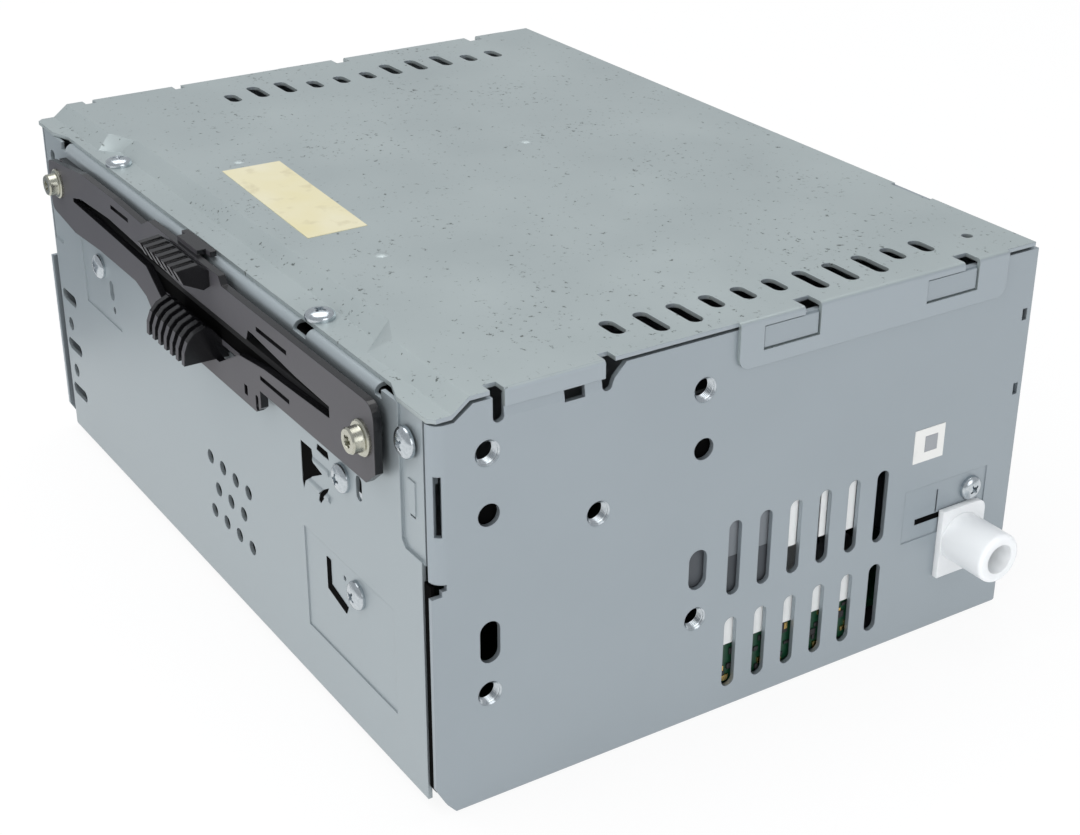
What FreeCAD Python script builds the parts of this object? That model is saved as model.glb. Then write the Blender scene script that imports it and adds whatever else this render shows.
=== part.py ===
import FreeCAD, Part
import math
import os

# Slot-loading car disc player without its fascia: a folded steel case, a black
# moulded disc guide on the front, an aerial socket on the right wall, and the
# disc mechanism, boards and connectors inside.
# Millimetres. X to the right facing the front, front at -Y, Z up, and the
# origin in the middle of the underside.

V = FreeCAD.Vector
os.makedirs("parts", exist_ok=True)

# Driving dimensions of the case
WIDTH = 180.0
DEPTH = 132.5
HEIGHT = 80.0
STEEL = 1.0
COVER_STEEL = 0.8
HALF = WIDTH / 2
FRONT = -DEPTH / 2
REAR = DEPTH / 2
FLOOR_BEND_R = 0.9
WALL_TOP = HEIGHT - 1.4
COVER_UNDER = HEIGHT - COVER_STEEL

# Front strip of the cover, pressed lower than the rest
STRIP_DROP = 2.5
STRIP_TOP = HEIGHT - STRIP_DROP
STRIP_EDGE = FRONT + 1.8
RAMP_OUT = FRONT + 4.15
RAMP_IN = FRONT + 7.6

# Threaded side holes for the dash bracket, on the right and left walls
TAP_R = 2.1
TAP_MOUTH_R = 2.45
TAP_COLLAR_R = 3.0
TAP_COLLAR = 1.2
TAP_Y = (-55.6, -12.0)
TAP_Z = (22.6, 69.0)
MIDDLE_TAP = (-33.8, 51.3)

# Windows in the cover's side flanges, and the slot in the walls' front bends
COVER_WINDOWS = ((-0.3, 12.3), (37.5, 50.2))
CORNER_SLOT_ANGLES = (36.0, 69.0)
MARGIN_SCREW = (82.6, 70.8)

# Cooling slots
VENT_WIDTH = 2.9
WALL_VENTS = 6
WALL_VENT_Y = -3.6
WALL_VENT_PITCH = 7.05
WALL_VENT_ROWS = ((32.9, 15.6), (12.5, 15.2))
COVER_VENTS = 11
COVER_VENT_Y = -24.8
COVER_VENT_PITCH = 7.02
COVER_VENT_LONG = (1, 2, 6, 7, 8)

# Aerial socket on the right wall
AERIAL_Y = 52.9
AERIAL_Z = 20.5
AERIAL_R = 5.2
AERIAL_BORE_R = 3.1
AERIAL_SEAT = HALF + 0.4
AERIAL_END = HALF + 12.1

# Front plate and the black disc guide on it
PLATE_STEEL = 0.8
PLATE_BACK = FRONT + PLATE_STEEL
PLATE_RIGHT = 86.4
BEND_R = 1.7
BEND_END = 72.0
GUIDE_FACE = FRONT - 3.0
GUIDE_THICK = 1.5
GUIDE_BACK = GUIDE_FACE + GUIDE_THICK

# Underside of a disc on its way in
DISC_LOW = 67.2

# Mechanism levels
BOARD_TOP = 8.0
PAN_Z = 46.0
DECK_Z = 59.0
SIDE_X = 79.0

# Gaps left in the front plate's window, as (x, z) outlines
WINDOW_GAPS = (
    ((42.2, 53.6), (46.7, 53.6), (46.9, 52.5), (47.9, 50.8), (50.6, 50.2), (46.4, 47.9),
     (43.3, 45.4), (42.6, 43.8), (42.1, 45.1)),
    ((49.1, 55.8), (53.2, 55.8), (53.6, 54.4), (51.3, 54.3), (48.7, 54.5)),
    ((49.1, 45.7), (50.9, 47.3), (53.1, 48.6), (52.0, 46.8), (49.4, 43.8), (48.6, 44.1)),
)

# Ribbed blocks of the guide, as (y, z) outlines
BLOCK_X = (-5.5, 13.0)
BLOCK_RIBS = 7
RIB_THICK = 1.3
LOWER_BLOCK = [(-75.7, 58.8), (-75.5, 61.4), (-74.7, 63.4), (-73.3, 64.9), (-71.0, 65.9),
               (-69.6, 65.2), (-66.6, 61.2), (-66.6, 58.8)]
UPPER_BLOCK = [(-75.8, 78.0), (-71.4, 78.5), (-67.7, 75.6), (-67.7, 74.4), (-70.6, 73.2),
               (-74.5, 75.1)]

# Fixing places and layout
MECH_SCREWS = ((58.8, 53.4), (-57.1, 53.1))
BRACKET_SCREW = (62.2, 31.2)
GUIDE_SCREWS = ((72.9, 68.2), (-69.8, 69.0))
COVER_SCREWS = ((44.7, -62.2), (-50.9, -61.8))
MARGIN_SCREWS = (MARGIN_SCREW,)
REAR_SCREWS = ((-53.0, 51.0), (73.5, 51.0))
SINK_X = (4.0, 66.0)
SINK_SCREWS = ((24.0, 29.0), (46.0, 29.0))
AMP_X = (18.0, 52.0)
CONNECTOR_X = (-68.0, -16.0)
CONNECTOR_Z = (8.0, 30.0)
SUPPORT_PIN_X = -76.0
SUPPORT_PIN_Z = 40.0
BOARD_THICK = 1.6
BOARD_POSTS = ((-78.0, -48.0), (78.0, -48.0), (-78.0, 46.0), (62.0, 46.0))
CAPS = ((-70.0, 30.0, 6.3, 20.0), (-55.0, 34.0, 6.3, 20.0), (-30.0, 38.0, 4.0, 12.0),
        (10.0, 36.0, 4.0, 12.0), (60.0, 20.0, 3.2, 8.0), (60.0, 10.0, 3.2, 8.0))
CHIPS = ((-40.0, -10.0, 20.0, 20.0), (10.0, -20.0, 14.0, 14.0), (45.0, -30.0, 16.0, 7.0),
         (-10.0, 20.0, 12.0, 6.0), (40.0, 12.0, 10.0, 7.0))
UPPER_GUIDE_Z = 75.4
GEAR_X = 70.0
GEAR_WIDTH = 3.0
MODULE = 0.5
ROLLER_TEETH = 20
IDLER_TEETH = 16
WHEEL_TEETH = 32
ROLLER_AXIS = (-55.0, 64.0)
ROLLER_SHAFT_R = 1.2
IDLER_AXIS = (-52.2, 72.7)
WHEEL_AXIS = (-41.0, 68.1)
GEAR_AXLES = ((-52.2, 72.7, 1.2), (-41.0, 68.1, 1.5))
WORM_X = 71.5
WORM_Z = 57.4
BRACKET_PIVOT = (-44.0, 57.0)
PIVOT_ROD_R = 1.5
ARM_PIVOT = (62.8, 73.5)
ARM_PIN_R = 1.0
RAIL_Y = (-15.0, 15.0)
RAIL_Z = 55.0
RAIL_R = 1.5
LEAD_Y = -23.0
LEAD_Z = 53.0
SLED_MOTOR_X = -11.0
DAMPERS = ((-60.0, -36.5), (-60.0, 46.0), (55.0, -36.5), (55.0, 46.0))
SENSE_PIVOT = (48.0, -30.0)
SENSE_TIP = (36.0, -50.0)




def box(x0, x1, y0, y1, z0, z1):
    """Block between two corners."""
    return Part.makeBox(x1 - x0, y1 - y0, z1 - z0, V(x0, y0, z0))


def rod(x, y, z, radius, length, axis="z"):
    """Solid cylinder from a point along a positive axis."""
    way = {"x": V(1, 0, 0), "y": V(0, 1, 0), "z": V(0, 0, 1)}[axis]
    return Part.makeCylinder(radius, length, V(x, y, z), way)


def tube(x, y, z, outer, inner, length, axis="z"):
    """Hollow cylinder."""
    return rod(x, y, z, outer, length, axis).cut(rod(x, y, z, inner, length, axis))


def prism(points, low, high, axis="y"):
    """Straight-sided outline pushed along an axis. An outline is (x, z) for y,
    (y, z) for x and (x, y) for z."""
    place = {
        "x": lambda a, b: V(low, a, b),
        "y": lambda a, b: V(a, low, b),
        "z": lambda a, b: V(a, b, low),
    }[axis]
    way = {"x": V(1, 0, 0), "y": V(0, 1, 0), "z": V(0, 0, 1)}[axis]
    corners = [place(a, b) for a, b in points]
    face = Part.Face(Part.makePolygon(corners + corners[:1]))
    return face.extrude(way * (high - low))


def stadium(a, b, length, width, low, high, axis, upright=True):
    """Round-ended slot cutter centred on (a, b), along the second coordinate
    when upright and along the first one when not."""
    r = width / 2
    reach = length / 2 - r
    if upright:
        ends = ((a, b - reach), (a, b + reach))
        bar = ((a - r, b - reach), (a + r, b - reach), (a + r, b + reach), (a - r, b + reach))
    else:
        ends = ((a - reach, b), (a + reach, b))
        bar = ((a - reach, b - r), (a + reach, b - r), (a + reach, b + r), (a - reach, b + r))
    shape = prism(bar, low, high, axis)
    for end in ends:
        shape = shape.fuse(disc(end, r, low, high, axis))
    return shape


def disc(centre, radius, low, high, axis):
    """Cylinder through a centre given in the outline's two coordinates."""
    a, b = centre
    start = {"x": (low, a, b), "y": (a, low, b), "z": (a, b, low)}[axis]
    return rod(*start, radius, high - low, axis)


def join(shapes):
    """One solid from touching shapes, with no seams left inside."""
    shapes = list(shapes)
    return shapes[0].multiFuse(shapes[1:]).removeSplitter()


def mirror_x(shape):
    """The same shape on the other side of the middle plane."""
    return shape.mirror(V(0, 0, 0), V(1, 0, 0))


def rounded_corner(points, index, radius, steps=6):
    """Replace one corner of an outline with a short arc."""
    before = points[index - 1]
    corner = points[index]
    after = points[(index + 1) % len(points)]
    starts = []
    for other in (before, after):
        gap = math.hypot(other[0] - corner[0], other[1] - corner[1])
        share = radius / gap
        starts.append((corner[0] + (other[0] - corner[0]) * share,
                       corner[1] + (other[1] - corner[1]) * share))
    arc = []
    for i in range(steps + 1):
        t = i / steps
        arc.append(tuple((1 - t) ** 2 * starts[0][k] + 2 * t * (1 - t) * corner[k]
                         + t ** 2 * starts[1][k] for k in (0, 1)))
    return points[:index] + arc + points[index + 1:]


def gear(teeth, module, x, y, z, width, bore, phase):
    """Spur gear about the X axis; phase is the angle of one tooth in the YZ plane."""
    root = module * (teeth / 2 - 1.15)
    tip = module * (teeth / 2 + 0.85)
    pitch = 2 * math.pi / teeth
    outline = []
    for i in range(teeth):
        middle = phase + i * pitch
        for radius, share in ((root, -0.27), (tip, -0.11), (tip, 0.11), (root, 0.27)):
            angle = middle + share * pitch
            outline.append((y + radius * math.cos(angle), z + radius * math.sin(angle)))
    return prism(outline, x, x + width, "x").cut(rod(x, y, z, bore, width, "x"))


parts = {}



def fillet_where(shape, radius, wanted):
    """Round every edge whose two ends both pass a test on (x, y, z)."""
    edges = [e for e in shape.Edges if all(wanted(v.Point) for v in e.Vertexes)]
    return shape.makeFillet(radius, edges)


def near(value, target):
    return abs(value - target) < 0.01


# Sheet-metal case

def wall_hole_cutters(side):
    """Cutters for every opening in one side wall; side is 1 for the right."""
    low, high = (HALF - 3.0, HALF + 1.0) if side > 0 else (-HALF - 1.0, -HALF + 3.0)
    cutters = []
    for y, z in ((-55.5, 57.6), (-11.8, 57.5)):
        cutters.append(disc((y, z), 2.1, low, high, "x"))
    for y, z in ((-55.5, 33.0), (-11.9, 33.0)):
        cutters.append(stadium(y, z, 8.2, 4.0, low, high, "x"))
    for row_z, length in WALL_VENT_ROWS:
        for i in range(WALL_VENTS):
            y = WALL_VENT_Y + i * WALL_VENT_PITCH
            cutters.append(stadium(y, row_z, length, VENT_WIDTH, low, high, "x"))
    return cutters


def tap_places():
    return [(y, z) for y in TAP_Y for z in TAP_Z] + [MIDDLE_TAP]


def chassis():
    """Floor and both side walls folded from one sheet, with the tapped collars,
    the wrapped front corners and the lugs that carry the boards."""
    inside = HALF - STEEL
    case = box(-HALF, HALF, FRONT - 0.3, REAR, 0, WALL_TOP)
    case = fillet_where(case, FLOOR_BEND_R, lambda p: near(p.z, 0) and abs(p.x) > HALF - 1)
    case = case.cut(box(-inside, inside, FRONT - 1, REAR + 1, STEEL, HEIGHT))
    # Floor stops behind the front plate, and the lower front corners are clipped
    case = case.cut(box(-inside + 2, inside - 2, FRONT - 1, PLATE_BACK + 0.2, -1, STEEL + 1))
    clip = prism([(FRONT - 1, -1), (FRONT + 4.8, -1), (FRONT + 1.8, 2.5), (FRONT - 0.3, 6.3),
                  (FRONT - 1, 6.3)], -HALF - 1, HALF + 1, "x")
    case = case.cut(clip)
    case = case.cut(box(-HALF - 1, HALF + 1, FRONT - 1, FRONT + 0.5, 46.9, HEIGHT))

    for side in (1, -1):
        # Front corner turned inwards above the gap
        corner = box(HALF - 2.5, HALF, FRONT + 0.5, FRONT + 4, 47.0, WALL_TOP)
        corner = fillet_where(corner, 2.4, lambda p: near(p.x, HALF) and near(p.y, FRONT + 0.5))
        inner = box(HALF - 4, inside, FRONT + 1.5, FRONT + 5, 46, HEIGHT)
        inner = fillet_where(inner, 1.4, lambda p: near(p.x, inside) and near(p.y, FRONT + 1.5))
        corner = corner.cut(inner)
        # Slot through the bend, between two angles about the bend's centre
        cx, cy = HALF - 2.4, FRONT + 2.9
        ends = [math.radians(a) for a in CORNER_SLOT_ANGLES]
        wedge = [(cx + r * math.sin(a), cy - r * math.cos(a))
                 for r, a in ((1.2, ends[0]), (3.0, ends[0]), (3.0, ends[1]), (1.2, ends[1]))]
        corner = corner.cut(prism(wedge, 55.9, 67.0, "z"))
        lug = box(HALF - 11, HALF - 1.9, FRONT + 1.5, FRONT + 2.5, 65.0, 75.0)
        corner = corner.fuse(lug).cut(disc(MARGIN_SCREW, 1.45, FRONT, FRONT + 4, "y"))
        relief = box(HALF - 4, HALF + 1, FRONT - 1, FRONT + 1.7, 44.9, 47.0)
        relief = relief.fuse(box(HALF - 4, HALF + 1, FRONT - 1, FRONT + 2.6, 45.9, 47.0))
        if side < 0:
            corner = mirror_x(corner)
            relief = mirror_x(relief)
        blank = box(HALF - 2.5, HALF + 1, FRONT - 1, FRONT + 4, 47.0, HEIGHT)
        if side < 0:
            blank = mirror_x(blank)
        case = case.cut(blank).cut(relief).fuse(corner)
        case = case.cut(join(wall_hole_cutters(side)))
        for y, z in tap_places():
            wall = HALF - STEEL
            collar = disc((y, z), TAP_COLLAR_R, wall - TAP_COLLAR, wall, "x")
            bore = disc((y, z), TAP_R, wall - TAP_COLLAR - 1, HALF + 1, "x")
            mouth = Part.makeCone(TAP_R, TAP_MOUTH_R, 0.35, V(HALF - 0.35, y, z), V(1, 0, 0))
            if side < 0:
                collar, bore, mouth = mirror_x(collar), mirror_x(bore), mirror_x(mouth)
            case = case.fuse(collar).cut(bore).cut(mouth)

    # Shallow pressed field round the aerial socket, its hole, slit and screw hole
    case = case.cut(box(HALF - 0.2, HALF + 1, 38.0, 59.5, 22.5, 34.0))
    case = case.cut(disc((AERIAL_Y, AERIAL_Z), AERIAL_R + 0.05, inside - 1, HALF + 1, "x"))
    case = case.cut(box(inside - 1, HALF + 1, 41.3, 48.4, 25.7, 27.0))
    case = case.cut(box(inside - 1, HALF + 1, 46.5, 46.9, 27.2, 32.2))
    case = case.cut(disc((55.4, 30.2), 1.3, inside - 1, HALF + 1, "x"))

    # The wall tops follow the cover's lower front strip
    case = case.cut(prism([(FRONT - 2, 76.1), (RAMP_OUT + 0.4, 76.1), (RAMP_OUT + 3.9, WALL_TOP),
                           (RAMP_OUT + 3.9, HEIGHT), (FRONT - 2, HEIGHT)],
                          -HALF - 1, HALF + 1, "x"))
    # Notches in the wall tops for the cover, and two reliefs at the rear
    case = case.cut(box(-HALF - 1, HALF + 1, -54.6, -52.4, 75.1, HEIGHT))
    case = case.cut(disc((-53.5, 75.1), 1.1, -HALF - 1, HALF + 1, "x"))
    flare = [(-33.5, HEIGHT), (-33.5, 75.1), (-31.5, 75.1), (-31.1, 76.1), (-28.6, 78.7), (-28.6, HEIGHT)]
    case = case.cut(prism(flare, -HALF - 1, HALF + 1, "x"))
    case = case.cut(disc((-32.5, 75.1), 1.0, -HALF - 1, HALF + 1, "x"))
    case = case.cut(box(-HALF - 1, HALF + 1, -40.9, -36.9, 74.2, 76.6))
    for z in (49.5, 65.3):
        case = case.cut(box(-HALF - 1, HALF + 1, REAR - 2.2, REAR - 1.0, z - 1.2, z + 1.2))
    # The wall behind the cover's short lip steps inwards
    for side in (1, -1):
        step = prism([(HALF, 74.6), (HALF - 0.35, 76.6), (HALF - 0.35, HEIGHT), (HALF + 1, HEIGHT),
                      (HALF + 1, 74.6)], -52.9, -32.9, "y")
        case = case.cut(step if side > 0 else mirror_x(step))
        # Tabs that stand in the two windows of the cover's flange
        for y0, y1 in COVER_WINDOWS:
            tab = box(HALF - 0.5, HALF + 0.5, y0 + 0.3, y1 - 0.3, 74.2, 78.2)
            case = case.fuse(tab if side > 0 else mirror_x(tab))

    # Pressed stand-offs under the main board
    for x, y in BOARD_POSTS:
        post = Part.makeCone(4.2, 2.8, BOARD_TOP - BOARD_THICK - STEEL, V(x, y, STEEL))
        case = case.fuse(post).cut(rod(x, y, STEEL, 1.25, BOARD_TOP))
    # Rubbing feet pressed out of the floor are left flat; slots let air in
    for i in range(7):
        case = case.cut(stadium(-36 + 12 * i, 30, 18, 3, -1, STEEL + 0.5, "z"))
    return case.removeSplitter()


def front_plate():
    """Flat front of the case, bent back under the cover's strip, with its right
    and left margins set back against the wall lugs."""
    top = STRIP_TOP - COVER_STEEL
    low = top - BEND_R
    face = box(-BEND_END, BEND_END, FRONT, PLATE_BACK, 2.2, top)
    ledge = box(-BEND_END, BEND_END, FRONT, FRONT + 8.0, top - PLATE_STEEL, top)
    plate = face.fuse(ledge).removeSplitter()
    plate = fillet_where(plate, BEND_R, lambda p: near(p.y, FRONT) and near(p.z, top))
    plate = fillet_where(plate, BEND_R - PLATE_STEEL,
                         lambda p: near(p.y, PLATE_BACK) and near(p.z, top - PLATE_STEEL))
    plate = plate.cut(box(41.8, 46.8, FRONT - 1, FRONT + 9, top - 1.6, top + 1))
    for side in (1, -1):
        flat = box(BEND_END, PLATE_RIGHT, FRONT, PLATE_BACK, 2.2, top - 0.05)
        flat = flat.cut(box(BEND_END, BEND_END + 2.4, FRONT - 1, PLATE_BACK + 1, low, top + 1))
        plate = plate.fuse(flat if side > 0 else mirror_x(flat))
    plate = plate.removeSplitter()

    # Set-back margins beside the side walls
    for side in (1, -1):
        margin = [(79.8, 51.6), (81.0, 50.3), (PLATE_RIGHT + 1, 50.3), (PLATE_RIGHT + 1, top + 1),
                  (79.8, top + 1)]
        strip = [(79.3, top - 0.05), (79.3, 50.3), (80.3, 49.6), (86.9, 49.6), (86.9, top - 0.05)]
        cutter = prism(margin, FRONT - 1, FRONT + 0.5, "y")
        back = prism(strip, FRONT + 0.5, PLATE_BACK + 0.5, "y")
        if side < 0:
            cutter, back = mirror_x(cutter), mirror_x(back)
        plate = plate.fuse(back).cut(cutter)
        for cut in (disc(MARGIN_SCREW, 1.6, FRONT - 1, FRONT + 3, "y"),
                    box(82.2, 84.0, FRONT - 1, FRONT + 3, 57.0, 57.5)):
            plate = plate.cut(cut if side > 0 else mirror_x(cut))
        lance = box(81.9, 84.2, FRONT + 0.3, FRONT + 0.5, 57.6, 63.9)
        plate = plate.fuse(lance if side > 0 else mirror_x(lance))

    # Way in for the disc, behind the guide
    plate = plate.cut(box(-63, 63, FRONT - 1, PLATE_BACK + 1, 63.8, 71.8))
    plate = plate.cut(box(-26, 29, FRONT - 1, PLATE_BACK + 1, 59.4, 64.0))
    # Sound and air holes
    for z, first, count in ((30.6, -1.6, 4), (24.3, 1.35, 3), (18.1, -1.6, 4)):
        for i in range(count):
            plate = plate.cut(disc((first + 6.05 * i, z), 1.5, FRONT - 1, PLATE_BACK + 1, "y"))
    # Window partly closed by two tabs curled over from its right side
    sheet = box(40, 60, FRONT - 2, PLATE_BACK, 40, 60)
    for x, z, radius in ((43.4, 46.4, 1.15), (46.6, 51.6, 1.05)):
        plate = plate.fuse(rod(x, FRONT + 0.75, z, radius, 53.3 - x, "x").common(sheet))
    for gap in WINDOW_GAPS:
        plate = plate.cut(prism(gap, FRONT - 1, PLATE_BACK + 2, "y"))
    plate = plate.cut(stadium(64.8, 54.0, 4.8, 2.2, FRONT - 1, PLATE_BACK + 1, "y"))
    # Slot of the board bracket, with its locating hole
    hook = prism([(50.1, 33.1), (51.7, 33.1), (51.7, 28.0), (58.0, 26.3), (57.2, 24.6),
                  (50.1, 26.4)], FRONT - 1, PLATE_BACK + 1, "y")
    plate = plate.cut(hook).cut(disc((57.1, 32.0), 0.5, FRONT - 1, PLATE_BACK + 1, "y"))
    # Left side slots and holes
    plate = plate.cut(stadium(-51.7, 49.1, 4.6, 2.6, FRONT - 1, PLATE_BACK + 1, "y"))
    plate = plate.cut(disc((-51.1, 44.6), 0.8, FRONT - 1, PLATE_BACK + 1, "y"))
    for z in (37.0, 24.4, 12.5):
        plate = plate.cut(stadium(-81.0, z, 8.8, 2.8, FRONT - 1, PLATE_BACK + 1, "y", False))
    for z in (30.0, 17.9):
        plate = plate.cut(disc((-82.0, z), 1.6, FRONT - 1, PLATE_BACK + 1, "y"))
    # Screw holes
    for x, z in MECH_SCREWS + (BRACKET_SCREW,):
        plate = plate.cut(disc((x, z), 1.6, FRONT - 1, PLATE_BACK + 1, "y"))
    for x, z in GUIDE_SCREWS:
        plate = plate.cut(disc((x, z), 1.3, FRONT - 1, PLATE_BACK + 1, "y"))
    for x, y in COVER_SCREWS:
        plate = plate.cut(rod(x, y, top - 2, 1.3, 4))
    # Shallow pressed fields round the lower and left screws
    for x0, x1, z0, z1 in ((41.5, 76.0, 14.0, 35.5), (-68.0, -47.0, 41.0, 57.5)):
        plate = plate.cut(box(x0, x1, FRONT - 1, FRONT + 0.25, z0, z1))
        plate = plate.fuse(box(x0 + 1, x1 - 1, PLATE_BACK, PLATE_BACK + 0.25, z0 + 1, z1 - 1)
                           .cut(join([disc(BRACKET_SCREW, 1.6, FRONT, FRONT + 3, "y"),
                                      disc(MECH_SCREWS[1], 1.6, FRONT, FRONT + 3, "y"),
                                      hook, disc((57.1, 32.0), 0.5, FRONT, FRONT + 3, "y"),
                                      stadium(-51.7, 49.1, 4.6, 2.6, FRONT, FRONT + 3, "y"),
                                      disc((-51.1, 44.6), 0.8, FRONT, FRONT + 3, "y")])))
    return plate.removeSplitter()


def raised_field(foot, low, head, high):
    """Solid with sloping sides between two outlines in plan."""
    wires = []
    for outline, z in ((foot, low), (head, high)):
        corners = [V(x, y, z) for x, y in outline]
        wires.append(Part.makePolygon(corners + corners[:1]))
    return Part.makeLoft(wires, True, True)


def top_cover():
    """Lid with a lower front strip, louvres along both edges, outside flanges
    and a short lip that locates it on the walls."""
    under = STRIP_TOP - COVER_STEEL
    edge = HALF + COVER_STEEL
    back = REAR - 1.0
    foot = [(-HALF, RAMP_OUT), (-62.0, RAMP_OUT), (-58.4, RAMP_IN), (58.4, RAMP_IN),
            (62.0, RAMP_OUT), (HALF, RAMP_OUT), (HALF, back), (-HALF, back)]
    head = [(-HALF, RAMP_OUT + 3.3), (-64.5, RAMP_OUT + 3.5), (-57.0, RAMP_IN + 3.4),
            (57.0, RAMP_IN + 3.4), (64.5, RAMP_OUT + 3.5), (HALF, RAMP_OUT + 3.3),
            (HALF, back), (-HALF, back)]
    raised = raised_field(foot, STRIP_TOP, head, HEIGHT)
    hollow = raised_field(foot, under - 0.01, head, COVER_UNDER)
    lid = box(-HALF, HALF, STRIP_EDGE, back, under, STRIP_TOP).fuse(raised).cut(hollow)
    lid = lid.cut(box(-HALF - 1, HALF + 1, RAMP_IN + 3.6, REAR, under - 1, COVER_UNDER))
    # Front corners reach out over the side walls
    for side in (1, -1):
        corner = prism([(74.5, STRIP_EDGE), (79.3, FRONT + 0.1), (88.8, FRONT + 0.1),
                        (HALF, FRONT + 1.3), (HALF, STRIP_EDGE)], under, STRIP_TOP, "z")
        lid = lid.fuse(corner if side > 0 else mirror_x(corner))
    lid = lid.cut(box(51.0, 62.0, REAR - 2.2, REAR, HEIGHT - 2, HEIGHT + 1))

    for side in (1, -1):
        drop = box(HALF, edge, -5.5, 57.8, 71.0, HEIGHT)
        for y, turn in ((-5.5, 1), (57.8, -1)):
            nib = box(HALF - 1, edge + 1, min(y, y + turn * 2.4), max(y, y + turn * 2.4), 71.0, 73.4)
            drop = drop.cut(nib.cut(disc((y + turn * 2.4, 73.4), 2.4, HALF - 1, edge + 1, "x")))
        flange = drop.fuse(box(HALF - 1, HALF, -5.5, 57.8, COVER_UNDER, HEIGHT))
        flange = fillet_where(flange, 0.75, lambda p: near(p.x, edge) and near(p.z, HEIGHT))
        for y0, y1 in COVER_WINDOWS:
            flange = flange.cut(box(HALF - 0.5, edge + 1, y0, y1, 73.9, 78.5))
            flange = flange.cut(box(HALF - 3, edge + 1, y1 - 3.6, y1, 78.4, HEIGHT + 1))
        lip = box(HALF - 0.35, HALF + COVER_STEEL - 0.35, -52.6, -33.2, 76.7, HEIGHT)
        lip = lip.fuse(box(HALF - 1.5, HALF + COVER_STEEL - 0.35, -52.6, -33.2,
                           COVER_UNDER, HEIGHT)).removeSplitter()
        lip = fillet_where(lip, 0.75, lambda p: near(p.x, HALF + COVER_STEEL - 0.35)
                           and near(p.z, HEIGHT))
        cuts = [box(HALF - 2.4, HALF + 1, y0, y1, COVER_UNDER - 1, HEIGHT + 1)
                for y0, y1 in ((-55.1, -52.6), (-33.2, -31.0))]
        cuts += [box(HALF - 3, HALF + 1, y1 - 3.6, y1, 78.4, HEIGHT + 1) for y1 in (12.3, 50.2)]
        if side < 0:
            flange, lip = mirror_x(flange), mirror_x(lip)
            cuts = [mirror_x(c) for c in cuts]
        lid = lid.fuse(flange).fuse(lip).cut(join(cuts))

    # Louvres along the right and left edges
    for i in range(COVER_VENTS):
        y = COVER_VENT_Y + COVER_VENT_PITCH * i
        long_one = i in COVER_VENT_LONG
        reach = 9.0 if long_one else 6.0
        for x in (77.0 + reach / 2, -74.0 - reach / 2 + 3.0):
            lid = lid.cut(stadium(x, y, reach, VENT_WIDTH, COVER_UNDER - 1, HEIGHT + 1, "z", False))
    lid = lid.cut(rod(80.7, 56.5, COVER_UNDER - 1, 1.1, 3))
    # Pressed dimples and the jog line beside the right screw
    for x, y in ((30.1, -42.1), (-32.3, -42.4), (-11.5, 15.7)):
        lid = lid.fuse(Part.makeSphere(3.4, V(x, y, HEIGHT - 3.1)).common(
            box(x - 4, x + 4, y - 4, y + 4, HEIGHT - 0.4, HEIGHT + 1)))
    for x, y in COVER_SCREWS:
        lid = lid.cut(rod(x, y, under - 1, 1.5, 4))
    return lid.removeSplitter()


# Front guide



def shrink(points, amount):
    """Outline pulled towards its middle, for the web between ribs."""
    cy = sum(p[0] for p in points) / len(points)
    cz = sum(p[1] for p in points) / len(points)
    inner = []
    for y, z in points:
        reach = math.hypot(y - cy, z - cz)
        inner.append((y + (cy - y) * amount / reach, z + (cz - z) * amount / reach))
    return inner


def ribbed_block(profile, web):
    """Ribs across X on a thinner web."""
    x0, x1 = BLOCK_X
    pitch = (x1 - x0 - RIB_THICK) / (BLOCK_RIBS - 1)
    shapes = [prism(shrink(profile, web), x0, x1, "x")]
    for i in range(BLOCK_RIBS):
        shapes.append(prism(profile, x0 + i * pitch, x0 + i * pitch + RIB_THICK, "x"))
    return join(shapes)


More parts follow.
